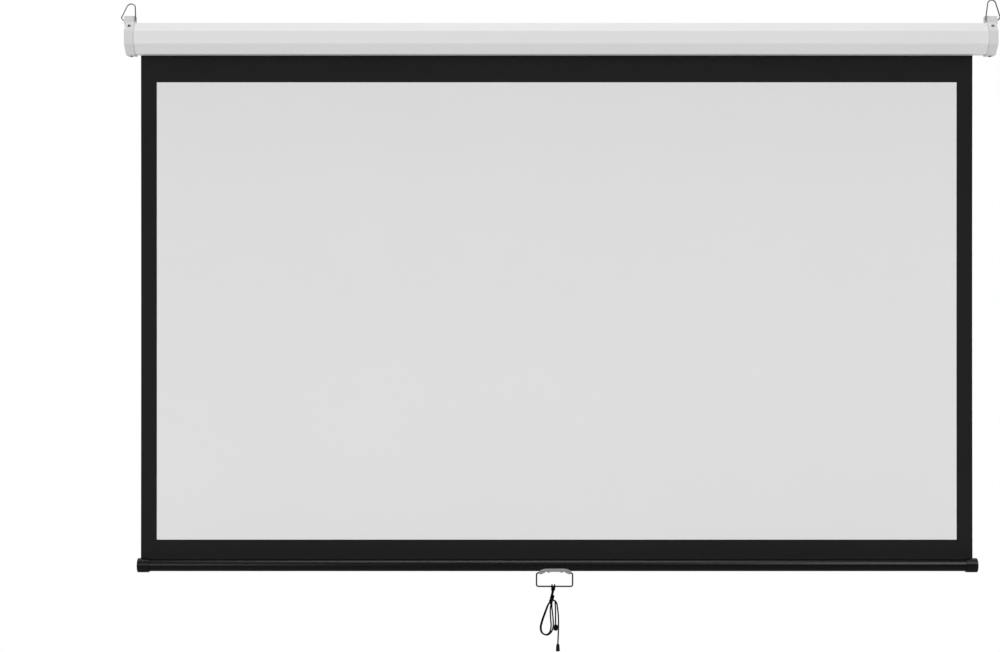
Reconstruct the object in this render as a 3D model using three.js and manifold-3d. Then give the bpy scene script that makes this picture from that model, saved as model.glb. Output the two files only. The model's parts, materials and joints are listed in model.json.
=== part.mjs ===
// Pull-down projection screen with a self-locking spring roller.
// Millimetres, Z up. X runs along the case and the viewing surface faces -Y.
// The origin is on the wall plane, midway between the end caps and level with the keyhole seats.
import * as THREE from 'three';
import { mergeVertices } from 'three/addons/utils/BufferGeometryUtils.js';
import Module from 'manifold-3d';

const wasm = await Module();
wasm.setup();

// Clearances shared by every fit
const fit = 0.3; // between pieces that touch or turn on each other
const overrun = 2; // how far a cutting solid runs past the face it cuts
const weldReach = 0.0003; // vertices nearer than this are one vertex

// Case, a rolled steel section with one slot along its lower back edge
const caseDepth = 65;
const caseHeight = 72;
const caseDrop = 7.5; // from the keyhole seats down to the top of the case
const caseSteel = 1;
const caseEdgeRadius = 3;
const upperSlopeDepth = 19;
const upperSlopeHeight = 21.5;
const lowerSlopeDepth = 20.5;
const lowerSlopeHeight = 21;
const backUpperSlopeDepth = 19;
const backUpperSlopeHeight = 15.5;
const backLowerSlopeDepth = 19;
const backLowerSlopeHeight = 12;
const slotAhead = 4.8; // from the sheet forward to the front lip of the slot
const slotBehind = 5.2; // from the sheet back to the rear lip
const slotLip = 4;

// End caps
const capRim = 21;
const capWall = 2.2;
const capEndWall = 3;
const capEdgeRound = 1.5;
const socketRadius = 9;
const socketReach = 15.7; // how far each socket stands in from the end wall

// Wall flange and keyhole of an end cap
const flangeThickness = 3;
const flangeOverhang = 6.7; // past the outer face of the cap
const flangeTop = 16.5; // above the keyhole seat
const flangeBottom = 60.8; // below the keyhole seat
const flangeWidth = 22.4;
const flangeCorner = 5;
const flangeTaperStart = 32; // below the keyhole seat
const flangeTaper = 3;
const keyholeInset = 3.4; // from the outer face of the cap to the keyhole
const keyholeSlotRadius = 2.5;
const keyholeRoundRadius = 5.75;
const keyholeDrop = 11.3; // from the seat to the middle of the round hole

// Hanger block, ear, rib and ring
const hangerWidth = 22.5;
const hangerOverhang = 6.8; // past the outer face of the cap
const hangerDepth = 12;
const hangerFront = 37; // from the wall to the front of the block
const hangerTop = 10.5; // above the keyhole seat
const hangerLipDrop = 2.2; // how far the overhanging part reaches below the cap's top
const earRadius = 4.2;
const earReach = 1.4;
const ribThickness = 4;
const ribDrop = 18.3; // below the top of the cap
const ribTaper = 1.5;
const ringWire = 1.5; // wire radius
const ringHole = 1.9; // hole radius
const ringHoleDepth = 6;
const ringPivotHeight = 1.5; // above the keyhole seat
const ringInnerLeg = 3.7; // from the block's inner side out to the inner leg
const ringOuterFoot = 7.8; // from the block's outer side out to the outer foot
const ringOuterFootRise = 6.5;
const ringFootRun = 2.5; // straight wire between the block and the outer foot
const ringApexRadius = 9.6;
const ringFootRadius = 2.2;
const ringPeak = { inset: 10.2, height: 81.5 }; // where the legs' lines cross
const ringLeftLean = 27; // degrees that the left ring leans back at rest

// Cap screws
const screwHeadRadius = 4;
const screwHeadHeight = 2.4;
const screwShankRadius = 1.9;
const screwShankLength = 9.5;
const screwDomeShares = { shoulder: 0.85, flat: 0.5 }; // of the head radius
const crossLength = 4.6;
const crossWidth = 0.9;
const crossDepth = 1.3;

// Roller
const rollerForward = 1; // ahead of the middle of the case
const rollerRadius = 16;
const rollerWall = 1;
const wrapThickness = 0.7;
const rollerLeftMargin = 3.2; // roller tube past the left edge of the sheet
const rollerRightMargin = 6.6;
const plugLength = 28;
const plugFlange = 3;
const idlerPinRadius = 4;
const idlerPinEndGap = 1;
const bushWall = 1.4;
const bushCollar = 1.5;

// Spring motor and lock
const spindleRadius = 4;
const tangThickness = 3.2;
const tangWidth = 7;
const springWire = 1; // wire radius
const springRadius = 8; // middle of the wire
const springLength = 300;
const springTurns = 24;
const springGrip = 20; // length of each spigot inside the spring
const anchorLength = 30;
const ratchetRadius = 8.5;
const ratchetThickness = 3;
const pawlPivotRadius = 12.8; // from the roller axis
const pawlEyeRadius = 2.5;
const pawlTipRadius = 1.2;
const pawlTipAt = { across: 4.37, up: 5.21 }; // locked tip, from the roller axis
const pawlLift = 22; // degrees from locked to lifted
const pawlSweepStep = 2;
const pawlPinRadius = 1.4;
const pawlPinHead = 2.4;
const pawlPinHeadThickness = 1;
const pawlPinDepth = 8;
const notchClearance = 0.5;

// Sheet, whose width sets the length of the case, roller and bar
const whiteWidth = 1860;
const sideBorder = 37.1;
const idlerRoom = 28.9; // from the sheet's left edge out to the outer face of the left cap
const lockRoom = 46.3; // from its right edge out to the outer face of the right cap
const whiteHeight = 1063.5;
const whiteTop = 140.8; // below the keyhole seat
const whiteThickness = 0.2;
const backingThickness = 0.25;
const hemDrop = 45.4; // from the lower edge of the white down to the bar
const hemSideGap = 1; // from each side of the hem to the slot of a bar cap

// Bottom bar
const barRadius = 14;
const barWall = 1.2;
const barSlot = 3.2;
const barOverhangLeft = 7; // bar past the left edge of the sheet
const barOverhangRight = 10.2;
const barCapRadius = 16.6;
const barCapLength = 26.9;
const barCapWall = 3;
const barCapRound = 1.4;
const hemRodRadius = 2.5;
const hemRodRise = 6; // above the middle of the bar

// Handle
const handleMiddle = -12.5;
const saddleThickness = 1.5;
const saddleRise = 6.4; // crown of the upper edge, below the middle of the bar
const saddleFall = 6.8; // from the crown down to the ends of that edge
const saddleFlatness = 6; // power of the arch between them
const knuckleRadius = 3.25;
const knuckleLength = 14;
const knuckleDrop = 18; // below the middle of the bar
const knuckleSlant = { length: 9, height: 3.9 }; // cut off the underside of its inner end
const bailWire = 1.5; // wire radius
const bailWidth = 84.4; // between the middles of the legs
const bailShoulder = 4.95; // from each end of the saddle out to the middle of a leg
const bailDrop = 31.4;
const bailGrip = 9; // wire inside each knuckle
const bailCorner = 4.6;
const bailPlay = 1.2; // how far the bail sits to the left in its knuckles
const saddleScrewInset = 22.25; // from each end of the saddle in to a screw
const saddleScrewHead = 2.9;
const saddleScrewHeadHeight = 1.7;
const saddleScrewFlatShare = 0.7; // of the head radius
const saddleScrewShank = 1.5;
const saddleScrewLength = 6;

// Pull cord
const cordRadius = 1.3;
const hitchMiddle = -16.6;
const hitchSpread = 2.9; // from the middle of the hitch to each turn
const knotRadius = 6;
const knotPlace = { x: -20.6, z: -1343.3 };
const endKnotRadius = 6.2;
const endKnotPlace = { x: -11.5, ahead: 4.2, z: -1408.4 };
const tipPlace = { x: -6, behind: 0.8, z: -1446.8 }; // middle of its top face
const tipLength = 17.1;
const tipTopRadius = 2;
const tipShoulderRadius = 4;
const tipBottomRadius = 4.8;
const tipMouthRadius = 3.4;
const tipCrownShare = 0.85; // of the shoulder radius
const tipDropShares = { crown: 0.12, shoulder: 0.32, mouth: 0.75 }; // of the length
const tipBoreShare = 0.6; // of the mouth radius
const cordStep = 6.5; // between the sections of a strand

// Facets
const roundSides = 36;
const boreSides = 16;
const wireSides = 10;
const cordSides = 8;
const bendSteps = 5; // to a right angle
const archSteps = 12;
const edgeSteps = 4; // to a right angle
const springSides = 5;
const springStepsPerTurn = 8;

// Places worked out from the sizes above
const sheetWidth = whiteWidth + 2 * sideBorder;
const capSpan = sheetWidth + idlerRoom + lockRoom; // over the outer faces of both caps
const sheetMiddle = (idlerRoom - lockRoom) / 2;
const wallGap = capWall + fit;
const caseBack = -wallGap;
const caseFront = caseBack - caseDepth;
const caseTop = -caseDrop;
const caseBottom = caseTop - caseHeight;
const capTop = caseTop + wallGap;
const capOuter = capSpan / 2;
const capInner = capOuter - capRim;
const endWallInside = capOuter - capEndWall;
const socketFace = endWallInside - socketReach;
const caseEnd = endWallInside - fit;
const rollerY = caseBack - caseDepth / 2 - rollerForward;
const rollerZ = caseTop - caseHeight / 2;
const wrapRadius = rollerRadius + fit + wrapThickness;
const sheetLeft = sheetMiddle - sheetWidth / 2;
const sheetRight = sheetMiddle + sheetWidth / 2;
const sheetFront = rollerY + wrapRadius + fit;
const backingFront = sheetFront + whiteThickness;
const sheetBack = backingFront + backingThickness;
const whiteBottom = -(whiteTop + whiteHeight);
const barTop = whiteBottom - hemDrop;
const barZ = barTop - barRadius;
const hemThickness = 2 * (whiteThickness + backingThickness);
const barY = sheetFront + hemThickness / 2;
const barLeft = sheetLeft - barOverhangLeft;
const barRight = sheetRight + barOverhangRight;
const hangerOuter = capOuter + hangerOverhang;
const hangerInner = hangerOuter - hangerWidth;
const hangerY = hangerDepth / 2 - hangerFront;
const rollerLeft = sheetLeft - rollerLeftMargin;
const rollerRight = sheetRight + rollerRightMargin;
const plugRadius = rollerRadius - rollerWall - fit;
const lockFace = rollerRight + fit + plugFlange;
const pawlNear = lockFace + fit;
const pawlFar = pawlNear + ratchetThickness;
const springSpigot = springRadius * Math.cos(Math.PI / springStepsPerTurn) - springWire - fit;
const springRight = rollerRight - plugLength - fit;
const springLeft = springRight - springLength;
const saddleLength = bailWidth - 2 * bailShoulder;
const saddleScrewSpacing = saddleLength - 2 * saddleScrewInset;
const knuckleZ = barZ - knuckleDrop;
const bailBottom = knuckleZ - bailDrop;

// Materials
const finish = (color, roughness, metalness) =>
  new THREE.MeshStandardMaterial({ color, roughness, metalness });
const whiteSteel = finish(0xdedede, 0.4, 0);
const whitePlastic = finish(0xd6d6d6, 0.45, 0);
const whiteVinyl = finish(0xdedede, 0.85, 0);
const blackVinyl = finish(0x262626, 0.7, 0);
const blackSteel = finish(0x1a1a1a, 0.4, 0);
const blackPlastic = finish(0x161616, 0.5, 0);
const blackCord = finish(0x141414, 0.9, 0);
const greySteel = finish(0xa6a6a6, 0.4, 0.6);
const greyWire = finish(0x787878, 0.35, 0.8);
const chromeWire = finish(0xb8b8b8, 0.1, 1);
const zincSteel = finish(0xb4b4b0, 0.3, 1);
const springSteel = finish(0x6e6e6a, 0.4, 1);
const naturalNylon = finish(0xe6e2d6, 0.5, 0);
const aluminiumTube = finish(0xc6c8ca, 0.4, 1);

// Geometry helpers

const flat = (a, b) => new THREE.Vector2(a, b);
const at = (x, y, z) => new THREE.Vector3(x, y, z);
const turn = THREE.MathUtils.degToRad;

// Shares one vertex where faces meet, drops empty triangles and turns the faces outwards.
function welded(geometry) {
  geometry.deleteAttribute('normal');
  geometry.deleteAttribute('uv');
  const merged = mergeVertices(geometry, weldReach);
  const place = merged.attributes.position;
  const kept = [];
  let volume = 0;
  for (let i = 0; i < merged.index.count; i += 3) {
    const corners = [0, 1, 2].map((k) => merged.index.getX(i + k));
    if (new Set(corners).size < 3) continue;
    const [a, b, c] = corners.map((k) => new THREE.Vector3().fromBufferAttribute(place, k));
    volume += a.dot(b.cross(c));
    kept.push(...corners);
  }
  if (volume < 0) kept.reverse();
  const clean = new THREE.BufferGeometry();
  clean.setAttribute('position', place);
  clean.setIndex(kept);
  return clean;
}

function solid(geometry) {
  const clean = welded(geometry);
  return new wasm.Manifold(new wasm.Mesh({
    numProp: 3,
    vertProperties: new Float32Array(clean.attributes.position.array),
    triVerts: new Uint32Array(clean.index.array),
  }));
}

function surface(manifold) {
  const mesh = manifold.getMesh();
  const geometry = new THREE.BufferGeometry();
  geometry.setAttribute('position', new THREE.BufferAttribute(mesh.vertProperties, 3));
  geometry.setIndex(new THREE.BufferAttribute(mesh.triVerts, 1));
  return geometry;
}

const joined = (first, ...rest) => rest.reduce((sum, next) => sum.add(solid(next)), solid(first));
const without = (body, ...cuts) => cuts.reduce((left, cut) => left.subtract(solid(cut)), body);

// A box between two corners, whose faces lie exactly at the given places.
function block(x0, x1, y0, y1, z0, z1) {
  const geometry = new THREE.BoxGeometry(1, 1, 1);
  const place = geometry.attributes.position;
  for (let i = 0; i < place.count; i += 1) {
    place.setXYZ(
      i,
      place.getX(i) < 0 ? x0 : x1,
      place.getY(i) < 0 ? y0 : y1,
      place.getZ(i) < 0 ? z0 : z1,
    );
  }
  return geometry;
}

function extruded(outline, depth, options) {
  const shape = new THREE.Shape(outline);
  return new THREE.ExtrudeGeometry(shape, { depth, bevelEnabled: false, ...options });
}

// An outline of (y, z) points carried along X.
function prismX(outline, x0, x1, options = {}) {
  const geometry = extruded(outline, x1 - x0, options);
  const cycle = new THREE.Matrix4().makeBasis(at(0, 1, 0), at(0, 0, 1), at(1, 0, 0));
  return geometry.applyMatrix4(cycle).translate(x0, 0, 0);
}

// An outline of (x, z) points carried along Y.
function prismY(outline, y0, y1) {
  return extruded(outline, y1 - y0).rotateX(Math.PI / 2).translate(0, y1, 0);
}

function circle(a, b, radius, sides) {
  const corner = (i) => (i * 2 * Math.PI) / sides;
  return Array.from({ length: sides }, (_, i) =>
    flat(a + radius * Math.cos(corner(i)), b + radius * Math.sin(corner(i))));
}

// A profile of (radius, distance) points turned about a line that leaves `origin` along `way`.
function turned(profile, origin, way, sides = roundSides) {
  const points = profile.map(([radius, distance]) => flat(radius, distance));
  const aim = new THREE.Quaternion().setFromUnitVectors(at(0, 1, 0), way.clone().normalize());
  return new THREE.LatheGeometry(points, sides).applyQuaternion(aim)
    .translate(origin.x, origin.y, origin.z);
}

const rod = (radius, origin, way, length, sides = boreSides) =>
  turned([[0, 0], [radius, 0], [radius, length], [0, length]], origin, way, sides);

const sleeve = (inner, outer, origin, way, length, sides = boreSides) =>
  turned([[inner, 0], [outer, 0], [outer, length], [inner, length], [inner, 0]],
    origin, way, sides);

const rightward = at(1, 0, 0);
const leftward = at(-1, 0, 0);
const downward = at(0, 0, -1);
const onRoller = (x) => at(x, rollerY, rollerZ);

// Rounds the corners of a run of points with arcs. Works in the plane and in space.
function filleted(points, radius, steps, closed = false) {
  const count = points.length;
  const out = [];
  points.forEach((point, i) => {
    if (!closed && (i === 0 || i === count - 1)) {
      out.push(point.clone());
      return;
    }
    const into = point.clone().sub(points[(i + count - 1) % count]).normalize();
    const away = points[(i + 1) % count].clone().sub(point).normalize();
    const bend = Math.acos(THREE.MathUtils.clamp(into.dot(away), -1, 1));
    const round = Array.isArray(radius) ? radius[i] : radius;
    if (!round || bend === 0) {
      out.push(point.clone());
      return;
    }
    const start = point.clone().addScaledVector(into, -round * Math.tan(bend / 2));
    const side = away.clone().addScaledVector(into, -into.dot(away)).normalize();
    const middle = start.clone().addScaledVector(side, round);
    const arcs = Math.max(1, Math.round((steps * bend) / (Math.PI / 2)));
    for (let k = 0; k <= arcs; k += 1) {
      const angle = (bend * k) / arcs;
      out.push(middle.clone().addScaledVector(side, -round * Math.cos(angle))
        .addScaledVector(into, round * Math.sin(angle)));
    }
  });
  return out;
}

// Moves a run of plane points to the right of the way it runs, with mitred corners.
function offset(points, distance, closed = false) {
  const count = points.length;
  const rightOf = (from, to) => {
    const along = to.clone().sub(from).normalize();
    return flat(along.y, -along.x);
  };
  return points.map((point, i) => {
    const before = closed || i > 0 ? rightOf(points[(i + count - 1) % count], point) : null;
    const after = closed || i < count - 1 ? rightOf(point, points[(i + 1) % count]) : null;
    const first = before ?? after;
    const second = after ?? before;
    return point.clone().addScaledVector(first.clone().add(second),
      distance / (1 + first.dot(second)));
  });
}

// A route with one section at each of its points, so that straight runs stay light.
class WireRoute extends THREE.Curve {
  constructor(points) {
    super();
    this.points = points;
  }

  getPointAt(share, target = new THREE.Vector3()) {
    return target.copy(this.points[Math.round(share * (this.points.length - 1))]);
  }

  getTangentAt(share, target = new THREE.Vector3()) {
    const last = this.points.length - 1;
    const i = Math.round(share * last);
    const into = this.points[Math.max(i, 1)].clone().sub(this.points[Math.max(i, 1) - 1]);
    const away = this.points[Math.min(i + 1, last)].clone()
      .sub(this.points[Math.min(i, last - 1)]);
    return target.copy(into.normalize()).add(away.normalize()).normalize();
  }
}

function wire(points, radius, sides) {
  const section = new THREE.Shape(circle(0, 0, radius, sides));
  const extrudePath = new WireRoute(points);
  return new THREE.ExtrudeGeometry(section, {
    steps: points.length - 1, bevelEnabled: false, extrudePath,
  });
}

// Mirrors a geometry from one end of the case to the other.
const swapped = (geometry) => geometry.scale(-1, 1, 1);

const screen = new THREE.Group();

function part(name, shape, material, parent = screen) {
  const geometry = welded(shape.isBufferGeometry ? shape : surface(shape));
  geometry.computeVertexNormals();
  const mesh = new THREE.Mesh(geometry, material);
  mesh.name = name;
  parent.add(mesh);
}

// Case shell

const caseCorners = [
  flat(caseFront + lowerSlopeDepth, caseBottom),
  flat(caseFront, caseBottom + lowerSlopeHeight),
  flat(caseFront, caseTop - upperSlopeHeight),
  flat(caseFront + upperSlopeDepth, caseTop),
  flat(caseBack - backUpperSlopeDepth, caseTop),
  flat(caseBack, caseTop - backUpperSlopeHeight),
  flat(caseBack, caseBottom + backLowerSlopeHeight),
  flat(caseBack - backLowerSlopeDepth, caseBottom),
];

// The closed section of the case, grown outwards all round.
const caseOutline = (grow) =>
  filleted(offset(caseCorners, -grow, true), caseEdgeRadius + grow, edgeSteps, true);

const upperSlopeNormal = at(0, -upperSlopeHeight, upperSlopeDepth).normalize();
const screwX = capInner + capRim / 2;

// Where a cap screw meets the outside of its cap, and the way its head faces.
const screwSeats = {
  front: {
    place: at(screwX, caseFront + upperSlopeDepth / 2, caseTop - upperSlopeHeight / 2)
      .addScaledVector(upperSlopeNormal, wallGap),
    way: upperSlopeNormal,
  },
  bottom: {
    place: at(
      screwX,
      (caseFront + lowerSlopeDepth + caseBack - backLowerSlopeDepth) / 2,
      caseBottom - wallGap,
    ),
    way: downward,
  },
};

function screwHole({ place, way }) {
  const start = place.clone().addScaledVector(way, overrun);
  const length = overrun + wallGap + caseSteel + overrun;
  return rod(screwShankRadius + fit, start, way.clone().negate(), length);
}

function caseShell() {
  const slotFront = sheetFront - slotAhead;
  const slotBack = sheetBack + slotBehind;
  const slotBackZ = caseBottom
    + backLowerSlopeHeight * (1 - (caseBack - slotBack) / backLowerSlopeDepth);
  const lipFront = flat(slotFront, caseBottom);
  const lipBack = flat(slotBack, slotBackZ);
  const run = [
    flat(slotFront, caseBottom + slotLip),
    lipFront,
    ...caseCorners.slice(0, -1),
    lipBack,
    flat(slotBack, slotBackZ + slotLip),
  ];
  const radii = run.map((_, i) =>
    (i < 2 || i > run.length - 3 ? caseSteel + fit : caseEdgeRadius));
  const outside = filleted(run, radii, edgeSteps);
  const inside = offset(outside, caseSteel);
  const section = [...outside, ...inside.reverse()];
  const holes = Object.values(screwSeats).map(screwHole);
  return without(
    solid(prismX(section, -caseEnd, caseEnd)),
    ...holes,
    ...holes.map((hole) => swapped(hole.clone())),
  );
}

part('case_shell', caseShell(), whiteSteel);

// End caps, drawn at the right-hand end and mirrored for the left

function keyhole(reach) {
  const x = capOuter - keyholeInset;
  const neck = [
    flat(x - keyholeSlotRadius, -keyholeDrop),
    flat(x + keyholeSlotRadius, -keyholeDrop),
    flat(x + keyholeSlotRadius, 0),
    flat(x - keyholeSlotRadius, 0),
  ];
  const from = -flangeThickness - reach;
  return [
    prismY(circle(x, -keyholeDrop, keyholeRoundRadius, boreSides), from, reach),
    prismY(circle(x, 0, keyholeSlotRadius, boreSides), from, reach),
    prismY(neck, from, reach),
  ];
}

function wallFlange() {
  const outer = capOuter + flangeOverhang;
  const inner = outer - flangeWidth;
  const corners = [
    flat(inner, -flangeBottom),
    flat(outer - flangeTaper, -flangeBottom),
    flat(outer, -flangeTaperStart),
    flat(outer, flangeTop),
    flat(inner, flangeTop),
  ];
  const radii = [0, flangeTaper, flangeCorner, flangeCorner, flangeCorner];
  return prismY(filleted(corners, radii, bendSteps, true), -flangeThickness, 0);
}

function hangerRib() {
  const outer = capOuter + hangerOverhang;
  const outline = [
    flat(capOuter - capEndWall, capTop),
    flat(capOuter - capEndWall, capTop - ribDrop),
    flat(outer - ribTaper, capTop - ribDrop),
    flat(outer, capTop),
  ];
  return prismY(outline, hangerY, hangerY + ribThickness);
}

function endCap(socketCut) {
  const bevelled = {
    bevelEnabled: true,
    bevelThickness: capEdgeRound,
    bevelSize: capEdgeRound,
    bevelOffset: -capEdgeRound,
    bevelSegments: edgeSteps,
  };
  const body = prismX(caseOutline(wallGap), capInner - overrun, capOuter - capEdgeRound, bevelled);
  const trim = block(capInner - 2 * overrun, capInner,
    caseFront - caseDepth, caseDepth, caseBottom - caseHeight, caseHeight);
  const cavity = prismX(caseOutline(fit), capInner - overrun, endWallInside);
  const hollow = without(
    joined(
      body,
      wallFlange(),
      block(hangerInner, hangerOuter, -hangerFront, hangerDepth - hangerFront,
        capTop - capWall / 2, hangerTop),
      block(endWallInside, hangerOuter, -hangerFront, hangerDepth - hangerFront,
        capTop - hangerLipDrop, hangerTop),
      hangerRib(),
      rod(earRadius, at(hangerInner - earReach, hangerY, ringPivotHeight), rightward,
        earReach + overrun),
    ),
    trim,
    cavity,
    ...keyhole(overrun),
    rod(ringHole, at(hangerInner - earReach - overrun, hangerY, ringPivotHeight), rightward,
      earReach + overrun + ringHoleDepth),
    rod(ringHole, at(hangerOuter + overrun, hangerY, ringPivotHeight), leftward,
      overrun + ringHoleDepth),
    ...Object.values(screwSeats).map(screwHole),
  );
  const socket = rod(socketRadius, onRoller(socketFace), rightward,
    socketReach + capEndWall / 2, roundSides);
  return without(hollow.add(solid(socket)), socketCut);
}

const tangSlot = block(
  socketFace - overrun, endWallInside,
  rollerY - tangThickness / 2 - fit, rollerY + tangThickness / 2 + fit,
  rollerZ - tangWidth / 2 - fit, rollerZ + tangWidth / 2 + fit,
);
const bushOuter = idlerPinRadius + fit + bushWall;
const bushBore = rod(bushOuter + fit, onRoller(socketFace - overrun), rightward,
  overrun + socketReach);

part('end_cap_left', swapped(surface(endCap(bushBore))), whitePlastic);
part('end_cap_right', endCap(tangSlot), whitePlastic);

// Cap screws: a domed head with a cross recess on a plain shank

function capScrew({ place, way }) {
  const head = place.clone().addScaledVector(way, fit);
  const waist = screwHeadHeight / 3;
  const body = turned([
    [0, -screwShankLength],
    [screwShankRadius, -screwShankLength + screwShankRadius / 2],
    [screwShankRadius, 0],
    [screwHeadRadius, 0],
    [screwHeadRadius, waist],
    [screwHeadRadius * screwDomeShares.shoulder, 2 * waist],
    [screwHeadRadius * screwDomeShares.flat, screwHeadHeight],
    [0, screwHeadHeight],
  ], head, way, boreSides);
  const aim = new THREE.Quaternion().setFromUnitVectors(at(0, 1, 0), way);
  const crown = head.clone().addScaledVector(way, screwHeadHeight - crossDepth);
  const slots = [[crossLength, crossWidth], [crossWidth, crossLength]].map(([a, b]) =>
    block(-a / 2, a / 2, 0, crossDepth + overrun, -b / 2, b / 2)
      .applyQuaternion(aim).translate(crown.x, crown.y, crown.z));
  return without(solid(body), ...slots);
}

for (const [seat, where] of Object.entries(screwSeats)) {
  part(`cap_screw_left_${seat}`, swapped(surface(capScrew(where))), zincSteel);
  part(`cap_screw_right_${seat}`, capScrew(where), zincSteel);
}

// Hanger rings: one bent wire each, whose ends turn in the hanger block

function ringRoute() {
  const innerLeg = hangerInner - ringInnerLeg;
  const outerFoot = hangerOuter + ringOuterFoot;
  const corners = [
    at(hangerInner + ringHoleDepth - fit, 0, 0),
    at(innerLeg, 0, 0),
    at(innerLeg + ringPeak.inset, 0, ringPeak.height),
    at(outerFoot, 0, ringOuterFootRise),
    at(hangerOuter + ringFootRun, 0, 0),
    at(hangerOuter - ringHoleDepth + fit, 0, 0),
  ];
  const radii = [0, ringFootRadius, ringApexRadius, ringFootRadius, ringFootRadius, 0];
  return filleted(corners, radii, bendSteps);
}

function hangerRing(lean) {
  return wire(ringRoute(), ringWire, wireSides).rotateX(-turn(lean))
    .translate(0, hangerY, ringPivotHeight);
}

part('hanger_ring_left', swapped(hangerRing(ringLeftLean)), chromeWire);
part('hanger_ring_right', hangerRing(0), chromeWire);

// Roller with its plugs

const rollerLength = rollerRight - rollerLeft;
part('roller_tube', sleeve(rollerRadius - rollerWall, rollerRadius, onRoller(rollerLeft),
  rightward, rollerLength, roundSides), aluminiumTube);
part('sheet_wrap', sleeve(rollerRadius + fit, wrapRadius, onRoller(sheetLeft), rightward,
  sheetWidth, roundSides), blackVinyl);

// A stepped plug for one end of the roller, drawn from its flange inwards.
function rollerPlug(face, way, bore) {
  return turned([
    [bore, 0],
    [rollerRadius, 0],
    [rollerRadius, plugFlange],
    [plugRadius, plugFlange],
    [plugRadius, plugFlange + fit + plugLength],
    [bore, plugFlange + fit + plugLength],
    [bore, 0],
  ], face, way);
}

const idlerFace = rollerLeft - fit - plugFlange;
part('idler_plug', rollerPlug(onRoller(idlerFace), rightward, idlerPinRadius + fit), naturalNylon);
part('idler_pin', rod(idlerPinRadius, onRoller(-endWallInside + fit + idlerPinEndGap), rightward,
  endWallInside - fit - idlerPinEndGap + rollerLeft + plugLength), zincSteel);
part('idler_bush', turned([
  [idlerPinRadius + fit, -fit - bushCollar],
  [socketRadius, -fit - bushCollar],
  [socketRadius, -fit],
  [bushOuter, -fit],
  [bushOuter, socketReach - fit],
  [idlerPinRadius + fit, socketReach - fit],
  [idlerPinRadius + fit, -fit - bushCollar],
], onRoller(-socketFace), leftward, boreSides), naturalNylon);

// Pawls and ratchet, in the plane across the roller

const pawlPivots = { upper: 90, lower: -90 };
const pivotPlace = flat(0, pawlPivotRadius);
const lockedTip = flat(-pawlTipAt.across, pawlTipAt.up);

// The pawl's outline about its pivot when it is lifted by the given angle from the notch.
function pawlOutline(lift, grow) {
  const arm = lockedTip.clone().sub(pivotPlace).rotateAround(flat(0, 0), -turn(lift));
  const reach = arm.length();
  const lean = Math.asin((pawlEyeRadius - pawlTipRadius) / reach);
  const along = arm.angle();
  const ring = (centre, radius, from, sweep) => Array.from({ length: boreSides / 2 }, (_, i) => {
    const angle = from + (sweep * i) / (boreSides / 2 - 1);
    return centre.clone().add(flat(Math.cos(angle), Math.sin(angle)).multiplyScalar(radius));
  });
  const half = Math.PI / 2;
  return [
    ...ring(flat(0, 0), pawlEyeRadius + grow, along + half - lean, Math.PI + 2 * lean),
    ...ring(arm, pawlTipRadius + grow, along - half + lean, Math.PI - 2 * lean),
  ].map((point) => point.add(pivotPlace));
}

// Turns outline points from the top of the roller to a pawl's own place.
const roundRoller = (points, degrees) => points.map((point) =>
  point.clone().rotateAround(flat(0, 0), turn(degrees - 90)).add(flat(rollerY, rollerZ)));

function ratchetDisc() {
  const cuts = [];
  for (const place of Object.values(pawlPivots)) {
    for (let lift = 0; lift <= pawlLift; lift += pawlSweepStep) {
      cuts.push(prismX(roundRoller(pawlOutline(lift, notchClearance), place),
        pawlNear - overrun, pawlFar + overrun));
    }
  }
  const disc = sleeve(spindleRadius + fit, ratchetRadius, onRoller(pawlNear), rightward,
    ratchetThickness, roundSides);
  return without(solid(disc), ...cuts);
}

part('ratchet_disc', ratchetDisc(), zincSteel);

const pinPlaces = Object.fromEntries(Object.entries(pawlPivots).map(([name, degrees]) =>
  [name, roundRoller([pivotPlace], degrees)[0]]));

function lockPlug() {
  const plug = rollerPlug(onRoller(lockFace), leftward, spindleRadius + fit);
  const holes = Object.values(pinPlaces).map((pin) =>
    rod(pawlPinRadius + fit, at(lockFace + overrun, pin.x, pin.y), leftward,
      overrun + pawlPinDepth + fit));
  return without(solid(plug), ...holes);
}

part('lock_plug', lockPlug(), naturalNylon);

for (const [name, degrees] of Object.entries(pawlPivots)) {
  const pin = pinPlaces[name];
  const arm = prismX(roundRoller(pawlOutline(pawlLift, 0), degrees), pawlNear, pawlFar);
  const eye = rod(pawlPinRadius + fit, at(pawlNear - overrun, pin.x, pin.y), rightward,
    ratchetThickness + 2 * overrun);
  part(`pawl_${name}`, without(solid(arm), eye), zincSteel);
  const shank = pawlPinDepth + pawlFar + fit - lockFace;
  part(`pawl_pin_${name}`, turned([
    [0, 0],
    [pawlPinRadius, 0],
    [pawlPinRadius, shank],
    [pawlPinHead, shank],
    [pawlPinHead, shank + pawlPinHeadThickness],
    [0, shank + pawlPinHeadThickness],
  ], at(lockFace - pawlPinDepth, pin.x, pin.y), rightward, boreSides), zincSteel);
}

// Spring motor: fixed spindle, coil spring, and the anchor that turns with the roller

const anchorFace = springLeft - fit;
const spindleStart = anchorFace - anchorLength / 2;
const spindleShoulder = socketFace - fit;
part('spring_spindle', joined(
  rod(spindleRadius, onRoller(spindleStart), rightward, spindleShoulder - spindleStart),
  block(spindleShoulder - overrun, endWallInside - fit,
    rollerY - tangThickness / 2, rollerY + tangThickness / 2,
    rollerZ - tangWidth / 2, rollerZ + tangWidth / 2),
), zincSteel);

part('spring_anchor', turned([
  [spindleRadius + fit, -anchorLength],
  [plugRadius, -anchorLength],
  [plugRadius, 0],
  [springSpigot, 0],
  [springSpigot, springGrip],
  [spindleRadius + fit, springGrip],
  [spindleRadius + fit, -anchorLength],
], onRoller(anchorFace), rightward), naturalNylon);

part('spring_collar', sleeve(spindleRadius + fit, springSpigot, onRoller(springRight - springGrip),
  rightward, springGrip, boreSides), zincSteel);

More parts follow.
